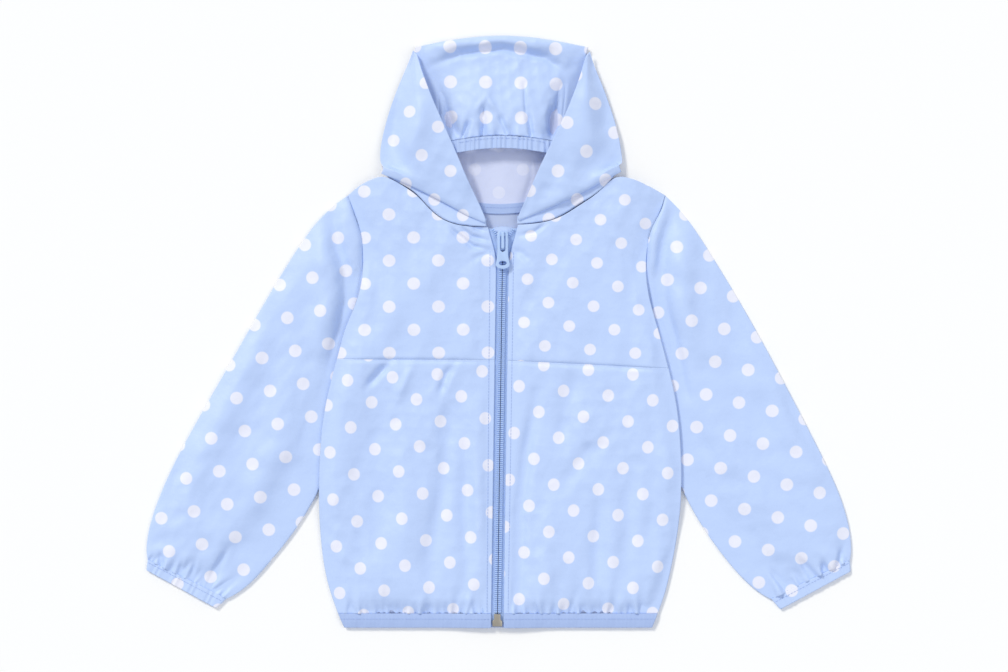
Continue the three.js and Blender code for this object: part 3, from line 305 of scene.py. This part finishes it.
def dotted_cloth(name, ground, dot, cloth, roughness, dot_share=1.0):
    """Cloth with a staggered repeat of round dots on the piece's own map."""
    material, tree, shader = new_material(name, ground, roughness, sheen=0.12)
    where = add_weave(tree, shader, 0.22)
    split = tree.nodes.new("ShaderNodeSeparateXYZ")
    tree.links.new(where, split.inputs[0])

    def nearest(offset):
        """Squared distance to the nearest dot of one of the two sets of rows."""
        total = None
        for axis, pitch in ((0, cloth.dot_pitch), (1, 2 * cloth.row_pitch)):
            cell = maths(tree, "MULTIPLY_ADD", split.outputs[axis], 1 / pitch)
            cell.node.inputs[2].default_value = offset
            centred = maths(tree, "SUBTRACT", maths(tree, "FRACT", cell), 0.5)
            length = maths(tree, "MULTIPLY", centred, pitch / cloth.dot_size * 2)
            square = maths(tree, "MULTIPLY", length, length)
            total = square if total is None else maths(tree, "ADD", total, square)
        return total

    away = maths(tree, "MINIMUM", nearest(0.0), nearest(0.5))
    edge = tree.nodes.new("ShaderNodeMapRange")
    edge.inputs["From Min"].default_value = 1.16
    edge.inputs["From Max"].default_value = 0.86
    tree.links.new(away, edge.inputs["Value"])
    amount = maths(tree, "MULTIPLY", edge.outputs[0], dot_share)
    blend = tree.nodes.new("ShaderNodeMix")
    blend.data_type = "RGBA"
    blend.inputs["A"].default_value = (*ground, 1)
    blend.inputs["B"].default_value = (*dot, 1)
    tree.links.new(amount, blend.inputs["Factor"])
    tree.links.new(blend.outputs["Result"], shader.inputs["Base Color"])
    return material


def plain_cloth(name, colour, roughness):
    """Plain woven cloth."""
    material, tree, shader = new_material(name, colour, roughness, sheen=0.1)
    add_weave(tree, shader, 0.25)
    return material


def finish_named(name):
    """The material of that name, made when it is first asked for."""
    if name in bpy.data.materials:
        return bpy.data.materials[name]
    cloth = bpy.context.scene.jacket_cloth
    zipper = bpy.context.scene.jacket_zip
    if name in ("Dotted nylon", "Nylon wrong side"):
        outside = name == "Dotted nylon"
        ground = cloth.shell if outside else cloth.wrong_side
        roughness = 0.52 if outside else 0.6
        dot_share = 1.0 if outside else 0.45
        return dotted_cloth(name, tuple(ground), tuple(cloth.dot), cloth, roughness, dot_share)
    plain = {
        # The inside back's colour is the wrong side with painted shade of the hood and collar.
        "Plain inside with painted shade": (cloth.inside, 0.65),
        "Band cloth": (cloth.band, 0.65),
        # The casing cloth is the shell's blue darkened with painted shade of its gathers.
        "Casing cloth with painted shade": (cloth.brim, 0.6),
        "Zip tape": (zipper.tape, 0.8),
    }
    if name in plain:
        colour, roughness = plain[name]
        return plain_cloth(name, tuple(colour), roughness)
    hard = {
        "Zip coil": (zipper.coil, 0.38, 0.0),
        "Blue enamel": (zipper.enamel, 0.3, 0.0),
        "Antique brass": (zipper.brass, 0.4, 1.0),
        "Thread": (zipper.thread, 0.7, 0.0),
    }
    colour, roughness, metallic = hard[name]
    return new_material(name, tuple(colour), roughness, metallic)[0]


# ---------------------------------------------------------------------------------------------
# Folds and gathers, in millimetres
# ---------------------------------------------------------------------------------------------
def ease(t):
    """A smooth step from 0 to 1."""
    t = np.clip(t, 0, 1)
    return t * t * (3 - 2 * t)


def fold_depths(x, y, folds):
    """How far the folds of a list push each point down."""
    total = np.zeros_like(x)
    for line, half, depth in folds:
        lengths = [math.dist(a, b) for a, b in zip(line, line[1:])]
        whole = sum(lengths)
        nearest = np.full_like(x, 1e9)
        along = np.zeros_like(x)
        before = 0.0
        for (ax, ay), (bx, by), length in zip(line, line[1:], lengths):
            dx, dy = (bx - ax) / length, (by - ay) / length
            t = np.clip((x - ax) * dx + (y - ay) * dy, 0, length)
            away = np.hypot(x - ax - t * dx, y - ay - t * dy)
            closer = away < nearest
            nearest = np.where(closer, away, nearest)
            along = np.where(closer, before + t, along)
            before += length
        share = along / whole
        ends = (0.25 + 0.75 * ease(share / 0.3)) * (0.25 + 0.75 * ease((1 - share) / 0.3))
        total += depth * ends * np.exp(-((nearest / half) ** 2))
    return total


def gathers(x, y, seam, count, reach, seed, depth):
    """Pleats that start crisp at a gathered seam, and widen and fade away from it."""
    (ax, ay), (bx, by) = seam
    length = math.dist((ax, ay), (bx, by))
    dx, dy = (bx - ax) / length, (by - ay) / length
    along = (x - ax) * dx + (y - ay) * dy
    away = np.abs((y - ay) * dx - (x - ax) * dy)
    dice = random.Random(seed)
    total = np.zeros_like(x)
    for i in range(count):
        place = length * (i + dice.uniform(0.1, 0.9)) / count
        lean = dice.uniform(-0.28, 0.28)
        far = reach * dice.choice((0.35, 0.5, 0.7, 1.0, 1.5))
        half = dice.uniform(0.9, 1.8)
        size = dice.uniform(0.35, 1.0) * (1 if dice.random() < 0.72 else -0.7)
        width = half + away * 0.16
        across = np.exp(-(((along - place - lean * away) / width) ** 2))
        total += size * across * np.exp(-((away / far) ** 1.5))
    return depth * total


def swells(x, y, seed, size):
    """Broad uneven rise and fall of slack cloth."""
    dice = random.Random(seed)
    total = np.zeros_like(x)
    for _ in range(9):
        turn = dice.uniform(0, math.tau)
        wave = dice.uniform(22, 60)
        phase = dice.uniform(0, math.tau)
        total += np.sin((x * math.cos(turn) + y * math.sin(turn)) / wave * math.tau + phase)
    return size * total / 4.5


def crumple(x, y, seed, size):
    """Small uneven creases of crisp cloth, stronger in some patches than in others."""
    dice = random.Random(seed + 100)
    total = np.zeros_like(x)
    for _ in range(12):
        turn = dice.uniform(0, math.tau)
        wave = dice.uniform(8, 19)
        phase = dice.uniform(0, math.tau)
        along = (x * math.cos(turn) + y * math.sin(turn)) / wave * math.tau + phase
        total += 1 - 2 * np.abs(np.sin(along / 2 + 0.6 * np.sin((x - y) / 31 + phase)))
    patches = 0.6 + 0.4 * np.sin(x / 23 + seed) * np.sin(y / 29 + seed)
    return size * total / 2.4 * patches


# ---------------------------------------------------------------------------------------------
# Cloth on the form of a solid
# ---------------------------------------------------------------------------------------------
def new_object(name, mesh):
    """An object of some data, in the scene."""
    made = bpy.data.objects.new(name, mesh)
    bpy.context.scene.collection.objects.link(made)
    return made


def smooth_copy(node, name, level, grow):
    """A finely divided copy of a solid whose rim is grown a little to close its seams."""
    shape = bmesh.new()
    shape.from_mesh(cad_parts[node].data)
    bmesh.ops.remove_doubles(shape, verts=shape.verts, dist=MERGE)
    sharp = math.radians(RIM_ANGLE)
    rim = [e for e in shape.edges if len(e.link_faces) == 2 and e.calc_face_angle(0) > sharp]
    pushed = {}
    for edge in rim:
        flat = min(edge.link_faces, key=lambda f: abs(f.normal.z))
        outward = Vector((flat.normal.x, flat.normal.y, 0))
        for vert in edge.verts:
            pushed.setdefault(vert, Vector((0, 0, 0)))
            pushed[vert] += outward
    for vert, push in pushed.items():
        if push.length > 0:
            vert.co += push.normalized() * grow * MM
    bmesh.ops.join_triangles(
        shape,
        faces=shape.faces,
        angle_face_threshold=math.radians(50),
        angle_shape_threshold=math.radians(180),
    )
    crease = shape.edges.layers.float.get("crease_edge") or shape.edges.layers.float.new("crease_edge")
    for edge in shape.edges:
        if len(edge.link_faces) == 2 and edge.calc_face_angle(0) > sharp:
            edge[crease] = 1.0
    mesh = bpy.data.meshes.new(name)
    shape.to_mesh(mesh)
    shape.free()
    rough = new_object(name + "_rough", mesh)
    finer = rough.modifiers.new("finer", "SUBSURF")
    finer.levels = level
    finer.render_levels = level
    bpy.context.view_layer.update()
    graph = bpy.context.evaluated_depsgraph_get()
    fine = bpy.data.meshes.new_from_object(rough.evaluated_get(graph))
    bpy.data.objects.remove(rough)
    fine.name = name
    return new_object(name, fine)


def read_points(mesh):
    """The mesh's points, in millimetres."""
    flat = np.empty(len(mesh.vertices) * 3)
    mesh.vertices.foreach_get("co", flat)
    return flat.reshape(-1, 3) / MM


def write_points(mesh, points):
    """Puts back points given in millimetres."""
    mesh.vertices.foreach_set("co", (points * MM).ravel())
    mesh.update()


def map_grain(mesh, points, node):
    """Maps the cloth in metres along its grain."""
    rows = DOT_ROWS.get(node, PLAIN_ROWS)
    cloth = bpy.context.scene.jacket_cloth
    turn = math.radians(rows["turn"])
    u = points[:, 0] * math.cos(turn) + points[:, 1] * math.sin(turn) + rows["along"]
    v = -points[:, 0] * math.sin(turn) + points[:, 1] * math.cos(turn) + rows["across"]
    u *= cloth.dot_pitch / MM / rows["pitch"]
    v *= cloth.row_pitch / MM / rows["rows"]
    corners = np.empty(len(mesh.loops), dtype=np.int32)
    mesh.loops.foreach_get("vertex_index", corners)
    mesh.uv_layers.new(name="grain")
    for other in [layer for layer in mesh.uv_layers if layer.name != "grain"]:
        mesh.uv_layers.remove(other)
    both = np.stack([u[corners], v[corners]], axis=1) * MM
    mesh.uv_layers["grain"].data.foreach_set("uv", both.ravel())


def make_cloth(node, level, lift, material, grow=SEAM_GROWTH, under=None, tube=False):
    """A cloth piece on a solid's form, with its folds, its map and its finish."""
    name = node + "_cloth"
    made = smooth_copy(node, name, level, grow)
    mesh = made.data
    points = read_points(mesh)
    map_grain(mesh, points, node)
    if lift is not None:
        points[:, 2] += lift(points[:, 0], points[:, 1], points[:, 2])
        points[:, 2] = np.maximum(points[:, 2], 0.0)
        write_points(mesh, points)
    mesh.materials.clear()
    mesh.materials.append(finish_named(material))
    if under:
        mesh.materials.append(finish_named(under))
        for face in mesh.polygons:
            face.material_index = 1 if face.normal.z < -0.2 else 0
    mesh.shade_smooth()
    mesh.set_sharp_from_angle(angle=math.radians(CREASE_EDGE))
    finish_piece(made, node)
    # The flat size is the finished piece's own box, widened until its measured area fits in it.
    low, high = points.min(0) * MM, points.max(0) * MM
    area = sum(face.area for face in mesh.polygons) / 2
    turn = 2 if tube else 1
    width, length = (high - low)[:2]
    scale = max(1.0, math.sqrt(area * FIT_MARGIN / (turn * width * length)))
    width, length = turn * width * scale, length * scale
    return made


def finish_piece(made, node, body=BODY):
    """Ties a piece to its body and hides the node that it replaces."""
    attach(made, body)
    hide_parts(node)


# ---------------------------------------------------------------------------------------------
# Pieces
# ---------------------------------------------------------------------------------------------
def from_side(x, y):
    """How far each point of the body lies from its side edges."""
    right = np.interp(y, SIDE_EDGES["y"], SIDE_EDGES["right"])
    left = np.interp(y, SIDE_EDGES["y"], SIDE_EDGES["left"])
    return np.minimum(x - right, left - x)


def front_lift(x, y, z):
    """Fullness and folds of the fronts, kept clear of the back."""
    cloth = bpy.context.scene.jacket_cloth
    side = from_side(x, y)
    folds = fold_depths(x, y, FRONT_FOLDS + YOKE_SEAMS) * cloth.fold_depth
    from_zip = np.abs(x - 1)
    pleats = gathers(x, y, HEM_SEAM, 62, 17, SEED, cloth.gather_depth / MM) * ease((from_zip - 7) / 4)
    slack = (swells(x, y, SEED, 0.9) + crumple(x, y, SEED, 0.24)) * ease((from_zip - 9) / 9)
    full = 2.6 * ease(side / 13) * ease((from_zip - 5) / 20) * ease((y + 226) / 14)
    rise = full + (slack - folds - pleats) * ease((side + 2) / 12)
    deepest = 2.2 * ease((side - 4) / 30) + 0.1
    return np.where(rise < 0, -deepest * np.tanh(-rise / deepest), rise)


def sleeve_lift(x, y, z):
    """Folds of the sleeves, in their upper layer only."""
    cloth = bpy.context.scene.jacket_cloth
    upper = ease((z - 1.0) / 1.4)
    lift = -fold_depths(x, y, SLEEVE_FOLDS + ARMHOLE_SEAMS) * cloth.fold_depth
    for side, seam in CUFF_SEAMS.items():
        here = x < 0 if side == "right" else x > 0
        lift -= np.where(here, gathers(x, y, seam, 17, 13, SEED + len(side), cloth.gather_depth / MM), 0)
    full = (swells(x, y, SEED + 1, 1.0) + crumple(x, y, SEED + 5, 0.26)) * ease((z - 2.2) / 1.5)
    rise = lift + full + 1.6 * ease((z - 2.6) / 2)
    deepest = np.maximum(z - 1.6, 0.1)
    return upper * np.where(rise < 0, -deepest * np.tanh(-rise / deepest), rise)


def band_lift(x, y, z):
    """Fine ripples of cloth drawn up on an elastic."""
    ripple = np.sin(x * 1.75 + 1.3 * np.sin(x * 0.31)) * 0.07 + np.sin(x * 0.43 + 2.0) * 0.14
    across = np.sin((y + 236.3) / 11 * math.pi)
    return ripple * (0.5 + 0.5 * across) * ease((z - 0.9) / 0.6) + 0.5 * across * ease((z - 1.8) / 0.4)


def cuff_lift(x, y, z):
    """The same ripples round a cuff."""
    along = np.where(x < 0, x * 0.89 - y * 0.45, x * 0.89 + y * 0.45)
    ripple = np.sin(along * 0.9 + 2.1 * np.sin(along * 0.4)) * 0.3
    return ripple * ease((z - 1.6) / 0.8)


def crown_lift(x, y, z):
    """Pleats and gathers of the hood's crown."""
    cloth = bpy.context.scene.jacket_cloth
    middle = ease((z - 3.5) / 3)
    folds = -fold_depths(x, y, CROWN_FOLDS) * cloth.fold_depth
    pleats = gathers(x, y, BRIM_SEAM, 17, 15, SEED + 2, cloth.gather_depth / MM * 1.1)
    gathered = folds - pleats * ease((215 - y) / 20)
    return middle * (gathered + swells(x, y, SEED + 3, 0.9) + crumple(x, y, SEED + 6, 0.34))


def brim_lift(x, y, z):
    """Ripples of the brim's casing."""
    return np.sin(x * 1.5 + 1.4 * np.sin(x * 0.3)) * 0.4 + np.sin(x * 0.6 + 1) * 0.3


def hood_side_lift(x, y, z):
    """Slack of the hood's sides."""
    cloth = bpy.context.scene.jacket_cloth
    folds = -fold_depths(x, y, HOOD_SIDE_FOLDS) * cloth.fold_depth
    return folds + swells(x, y, SEED + 4, 0.9) + crumple(x, y, SEED + 7, 0.28)


def hood_back_lift(x, y, z):
    """Seams inside the hood."""
    depth = fold_depths(x, y, HOOD_BACK_FOLDS)
    return np.where(z > 0.5, np.maximum(-depth, -0.7), 0) + 0.5 * ease((z - 0.5) / 0.5)


class JACKET_OT_back(bpy.types.Operator):
    """Make the back panel, the back of the hood, the neck binding and the zip guard"""

    bl_idname = "jacket.back"
    bl_label = "Back and neck"

    def execute(self, context):
        # The back panel's inside carries painted shade of the hood and collar in its colour.
        make_cloth("back_panel", 2, None, "Plain inside with painted shade", under="Dotted nylon")
        inside_out = "Nylon wrong side"
        make_cloth(
            "hood_back", 3, hood_back_lift, inside_out, under="Dotted nylon"
        )
        make_cloth("neck_binding", 3, None, "Band cloth", grow=0)
        make_cloth("zip_guard", 2, None, "Dotted nylon", grow=0)
        return {"FINISHED"}


class JACKET_OT_fronts(bpy.types.Operator):
    """Make the two lower fronts and the two front yokes"""

    bl_idname = "jacket.fronts"
    bl_label = "Fronts and yokes"

    def execute(self, context):
        for side in ("right", "left"):
            make_cloth(f"front_lower_{side}", 4, front_lift, "Dotted nylon")
            make_cloth(f"front_yoke_{side}", 4, front_lift, "Dotted nylon")
        return {"FINISHED"}


class JACKET_OT_sleeves(bpy.types.Operator):
    """Make the sleeves and their cuffs"""

    bl_idname = "jacket.sleeves"
    bl_label = "Sleeves and cuffs"

    def execute(self, context):
        for side in ("right", "left"):
            for part, lift, grow in (("sleeve", sleeve_lift, SLEEVE_GROWTH), ("cuff", cuff_lift, SEAM_GROWTH)):
                node = f"{part}_{side}"
                make_cloth(node, 3, lift, "Dotted nylon", grow=grow, tube=True)
        return {"FINISHED"}


class JACKET_OT_bands(bpy.types.Operator):
    """Make the hem band"""

    bl_idname = "jacket.bands"
    bl_label = "Hem band"

    def execute(self, context):
        make_cloth("hem_band_back", 3, None, "Band cloth")
        for side in ("right", "left"):
            make_cloth(f"hem_band_front_{side}", 4, band_lift, "Band cloth")
        return {"FINISHED"}


class JACKET_OT_hood(bpy.types.Operator):
    """Make the hood's sides, crown and brim"""

    bl_idname = "jacket.hood"
    bl_label = "Hood"

    def execute(self, context):
        for side in ("right", "left"):
            make_cloth(f"hood_side_{side}", 3, hood_side_lift, "Dotted nylon")
        make_cloth("hood_crown", 3, crown_lift, "Dotted nylon")
        # The brim's casing carries painted shade of its gathers in its colour.
        make_cloth("hood_brim", 4, brim_lift, "Casing cloth with painted shade")
        return {"FINISHED"}


# ---------------------------------------------------------------------------------------------
# What repeats along a line: zip turns and stitches
# ---------------------------------------------------------------------------------------------
def row_tree(name, pitch, radius, length, material, crosswise):
    """Geometry nodes that set small rods along a curve and make them real."""
    tree = bpy.data.node_groups.new(name, "GeometryNodeTree")
    face = tree.interface
    face.new_socket("Geometry", in_out="INPUT", socket_type="NodeSocketGeometry")
    face.new_socket("Geometry", in_out="OUTPUT", socket_type="NodeSocketGeometry")
    for label, value in (("Pitch", pitch), ("Radius", radius), ("Length", length)):
        face.new_socket(label, in_out="INPUT", socket_type="NodeSocketFloat").default_value = value
    nodes, links = tree.nodes, tree.links
    given = nodes.new("NodeGroupInput")
    along = nodes.new("GeometryNodeResampleCurve")
    along.mode = "LENGTH"
    place = nodes.new("GeometryNodeInstanceOnPoints")
    rod = nodes.new("GeometryNodeMeshCylinder")
    rod.inputs["Vertices"].default_value = 7
    turn = nodes.new("FunctionNodeAlignEulerToVector")
    turn.axis = "X" if crosswise else "Z"
    tangent = nodes.new("GeometryNodeInputTangent")
    real = nodes.new("GeometryNodeRealizeInstances")
    paint = nodes.new("GeometryNodeSetMaterial")
    paint.inputs["Material"].default_value = material
    result = nodes.new("NodeGroupOutput")
    links.new(given.outputs["Geometry"], along.inputs["Curve"])
    links.new(given.outputs["Pitch"], along.inputs["Length"])
    links.new(given.outputs["Radius"], rod.inputs["Radius"])
    links.new(given.outputs["Length"], rod.inputs["Depth"])
    links.new(along.outputs[0], place.inputs["Points"])
    if crosswise:
        tip = nodes.new("GeometryNodeTransform")
        tip.inputs["Rotation"].default_value = (math.pi / 2, 0, 0)
        links.new(rod.outputs["Mesh"], tip.inputs["Geometry"])
        links.new(tip.outputs[0], place.inputs["Instance"])
    else:
        links.new(rod.outputs["Mesh"], place.inputs["Instance"])
    links.new(tangent.outputs[0], turn.inputs["Vector"])
    links.new(turn.outputs[0], place.inputs["Rotation"])
    links.new(place.outputs[0], real.inputs[0])
    links.new(real.outputs[0], paint.inputs["Geometry"])
    links.new(paint.outputs[0], result.inputs[0])
    return tree


def rods_along(name, lines, tree):
    """One mesh of the rods that a tree sets along some lines, given in metres."""
    curve = bpy.data.curves.new(name, "CURVE")
    curve.dimensions = "3D"
    for line in lines:
        spline = curve.splines.new("POLY")
        spline.points.add(len(line) - 1)
        for point, place in zip(spline.points, line):
            point.co = (*place, 1)
    holder = new_object(name + "_line", curve)
    holder.modifiers.new("rods", "NODES").node_group = tree
    bpy.context.view_layer.update()
    graph = bpy.context.evaluated_depsgraph_get()
    mesh = bpy.data.meshes.new_from_object(holder.evaluated_get(graph))
    bpy.data.objects.remove(holder)
    mesh.name = name
    mesh.shade_smooth()
    mesh.set_sharp_from_angle(angle=math.radians(50))
    return new_object(name, mesh)


def coil_line(node):
    """The middle line of one half of the chain, read off its solid."""
    points = np.array([v.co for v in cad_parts[node].data.vertices])
    rows = np.unique(np.round(points[:, 1], 4))
    line = []
    for row in rows:
        near = points[np.abs(points[:, 1] - row) < 0.0006]
        middle = (near.min(0) + near.max(0)) / 2
        line.append((middle[0], row, middle[2]))
    return line


def polished(node, name, material, round_by, body=BODY):
    """A hard piece: its solid with rounded edges."""
    shape = bmesh.new()
    shape.from_mesh(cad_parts[node].data)
    bmesh.ops.remove_doubles(shape, verts=shape.verts, dist=MERGE)
    bmesh.ops.dissolve_limit(shape, angle_limit=math.radians(1), verts=shape.verts, edges=shape.edges)
    mesh = bpy.data.meshes.new(name)
    shape.to_mesh(mesh)
    shape.free()
    made = new_object(name, mesh)
    soft = made.modifiers.new("edges", "BEVEL")
    soft.width = round_by
    soft.segments = 3
    soft.limit_method = "ANGLE"
    soft.angle_limit = math.radians(40)
    mesh.materials.clear()
    mesh.materials.append(finish_named(material))
    mesh.shade_smooth()
    finish_piece(made, node, body)
    return made


class JACKET_OT_zip(bpy.types.Operator):
    """Make the zip: tapes, coil turns, slider, pull tab and retainer box"""

    bl_idname = "jacket.zip"
    bl_label = "Zip"

    def execute(self, context):
        zipper = context.scene.jacket_zip
        finish = finish_named("Zip coil")
        tree = row_tree("Coil turns", zipper.tooth_pitch, zipper.tooth_radius, TURN_LENGTH, finish, True)
        for side in ("right", "left"):
            make_cloth(f"zip_tape_{side}", 2, None, "Zip tape", grow=0)
            coil = rods_along(f"coil_{side}", [coil_line(f"zip_coil_{side}")], tree)
            finish_piece(coil, f"zip_coil_{side}")
        polished("zip_slider", "slider", "Blue enamel", 0.00025)
        polished("pull_tab", "tab", "Blue enamel", 0.0004, "pull_tab")
        polished("retainer_box", "zip_foot", "Antique brass", 0.0004)
        return {"FINISHED"}


# Rows of stitches: the cloth pieces that they lie on, and their line.
STITCH_ROWS = [
    (("front_yoke_right_cloth", "front_lower_right_cloth"), [(-7.1, 63.6), (-7.9, -22.8), (-9.5, -224.3)]),
    (("front_yoke_left_cloth", "front_lower_left_cloth"), [(11.7, 62.1), (10.5, -22.8), (7.3, -224.3)]),
    (("hem_band_front_right_cloth",), [(-126.3, -229.6), (-7.1, -229.6)]),
    (("hem_band_front_left_cloth",), [(5.7, -229.6), (127.3, -229.6)]),
    (("neck_binding_cloth",), [(-19.9, 100.5), (-8.7, 99.2), (2.5, 98.7), (13.7, 99.3), (24.9, 100.9)]),
    (("neck_binding_cloth",), [(-19.9, 95.7), (-8.7, 94.4), (2.5, 94.1), (13.7, 94.7), (24.9, 96.1)]),
    (("hood_brim_cloth",), [(-31.1, 150.2), (-15.1, 152.8), (3.3, 153.7), (21.7, 152.8), (36.9, 150.2)]),
    (("cuff_right_cloth",), [(-279.1, -185.2), (-221.5, -215.2)]),
    (("cuff_left_cloth",), [(278.5, -185.6), (220.9, -216.0)]),
]


def laid_line(names, line):
    """A line in the plane, dropped on to cloth pieces from above, in metres."""
    placed = []
    for (ax, ay), (bx, by) in zip(line, line[1:]):
        steps = max(2, int(math.dist((ax, ay), (bx, by)) / STITCH_STEP))
        for i in range(steps):
            x, y = ax + (bx - ax) * i / steps, ay + (by - ay) * i / steps
            for name in names:
                above = Vector((x * MM, y * MM, 0.1))
                found, spot, _, _ = bpy.data.objects[name].ray_cast(above, Vector((0, 0, -1)))
                if found:
                    placed.append((spot.x, spot.y, spot.z + 0.0001))
                    break
    return placed


class JACKET_OT_stitches(bpy.types.Operator):
    """Sew the rows of stitches"""

    bl_idname = "jacket.stitches"
    bl_label = "Stitches"

    def execute(self, context):
        zipper = context.scene.jacket_zip
        thread = finish_named("Thread")
        tree = row_tree("Stitches", zipper.stitch_length, THREAD_RADIUS, STITCH_SHOWN, thread, False)
        lines = [laid_line(names, line) for names, line in STITCH_ROWS]
        lines = [line for line in lines if len(line) > 1]
        if not lines:
            raise RuntimeError("no row of stitches lies on its cloth")
        made = rods_along("stitches", lines, tree)
        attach(made, BODY)
        return {"FINISHED"}


# ---------------------------------------------------------------------------------------------
# Stage
# ---------------------------------------------------------------------------------------------
CAMERA = {"x": 0.0041, "y": -0.0036, "lens": 85, "sensor": 36, "width": 0.8064}
ROOM = {"colour": (0.91, 0.97, 1.10, 1), "strength": 0.55}
SUNS = (
    {
        "name": "Window",
        "energy": 1.75,
        "colour": (1.0, 0.965, 0.86),
        "angle": 14,
        "from": (-0.68, 0.78, 0.86),
    },
    {"name": "Fill", "energy": 0.5, "colour": (1.0, 1.0, 1.0), "angle": 40, "from": (0.75, -0.1, 1.0)},
)


def white_floor():
    """The warm white finish of the floor."""
    material, _, shader = new_material("White surface", (1.0, 0.99, 0.965), 0.9)
    shader.inputs["Specular IOR Level"].default_value = 0.0
    return material


def new_sun(facts):
    """A far light of the given energy, colour and softness, from the given direction."""
    lamp = bpy.data.lights.new(facts["name"], "SUN")
    lamp.energy = facts["energy"]
    lamp.color = facts["colour"]
    lamp.angle = math.radians(facts["angle"])
    sun = new_object(facts["name"], lamp)
    sun.rotation_euler = Vector(facts["from"]).to_track_quat("Z", "Y").to_euler()
    return sun


class JACKET_OT_stage(bpy.types.Operator):
    """Make the floor, the lights and the camera"""

    bl_idname = "jacket.stage"
    bl_label = "Stage"

    def execute(self, context):
        scene = context.scene
        bpy.ops.mesh.primitive_plane_add(size=6, location=(0, 0, -0.0003))
        floor = context.object
        floor.name = "floor"
        floor.data.materials.append(white_floor())
        world = bpy.data.worlds.new("Soft room")
        world.use_nodes = True
        scene.world = world
        nodes, links = world.node_tree.nodes, world.node_tree.links
        soft = nodes["Background"]
        soft.inputs["Color"].default_value = ROOM["colour"]
        soft.inputs["Strength"].default_value = ROOM["strength"]
        white = nodes.new("ShaderNodeBackground")
        white.inputs["Strength"].default_value = 1.0
        rays = nodes.new("ShaderNodeLightPath")
        seen = rays.outputs["Is Camera Ray"]
        for kind in ("Is Glossy Ray", "Is Transmission Ray"):
            seen = maths(world.node_tree, "MAXIMUM", seen, rays.outputs[kind])
        mix = nodes.new("ShaderNodeMixShader")
        links.new(seen, mix.inputs[0])
        links.new(soft.outputs[0], mix.inputs[1])
        links.new(white.outputs[0], mix.inputs[2])
        links.new(mix.outputs[0], nodes["World Output"].inputs["Surface"])
        suns = [new_sun(facts) for facts in SUNS]
        camera = new_object("Camera", bpy.data.cameras.new("Camera"))
        camera.data.lens = CAMERA["lens"]
        camera.data.sensor_width = CAMERA["sensor"]
        away = CAMERA["width"] * CAMERA["lens"] / CAMERA["sensor"]
        camera.location = (CAMERA["x"], CAMERA["y"], away)
        scene.camera = camera
        scene.view_settings.view_transform = "Standard"
        return {"FINISHED"}


class JACKET_PT_pieces(bpy.types.Panel):
    """The jacket's pieces and their sizes"""

    bl_idname = "JACKET_PT_pieces"
    bl_label = "Windbreaker jacket"
    bl_space_type = "VIEW_3D"
    bl_region_type = "UI"
    bl_category = "Jacket"

    def draw(self, context):
        for group in (context.scene.jacket_cloth, context.scene.jacket_zip):
            for name in group.bl_rna.properties.keys():
                if name not in ("rna_type", "name"):
                    self.layout.prop(group, name)
        for step in STEPS:
            self.layout.operator(step.bl_idname)


STEPS = (
    JACKET_OT_back,
    JACKET_OT_fronts,
    JACKET_OT_sleeves,
    JACKET_OT_bands,
    JACKET_OT_hood,
    JACKET_OT_zip,
    JACKET_OT_stitches,
    JACKET_OT_stage,
)
CLASSES = (JacketCloth, JacketZip, *STEPS, JACKET_PT_pieces)


def register():
    """Adds the classes and the settings."""
    for one in CLASSES:
        bpy.utils.register_class(one)
    bpy.types.Scene.jacket_cloth = bpy.props.PointerProperty(type=JacketCloth)
    bpy.types.Scene.jacket_zip = bpy.props.PointerProperty(type=JacketZip)


def unregister():
    """Takes them away again."""
    del bpy.types.Scene.jacket_zip
    del bpy.types.Scene.jacket_cloth
    for one in reversed(CLASSES):
        bpy.utils.unregister_class(one)


def main():
    """Builds the jacket."""
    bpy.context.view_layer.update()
    register()
    bpy.ops.jacket.back()
    bpy.ops.jacket.fronts()
    bpy.ops.jacket.sleeves()
    bpy.ops.jacket.bands()
    bpy.ops.jacket.hood()
    bpy.ops.jacket.zip()
    bpy.ops.jacket.stitches()
    bpy.ops.jacket.stage()


if __name__ == "__main__":
    main()
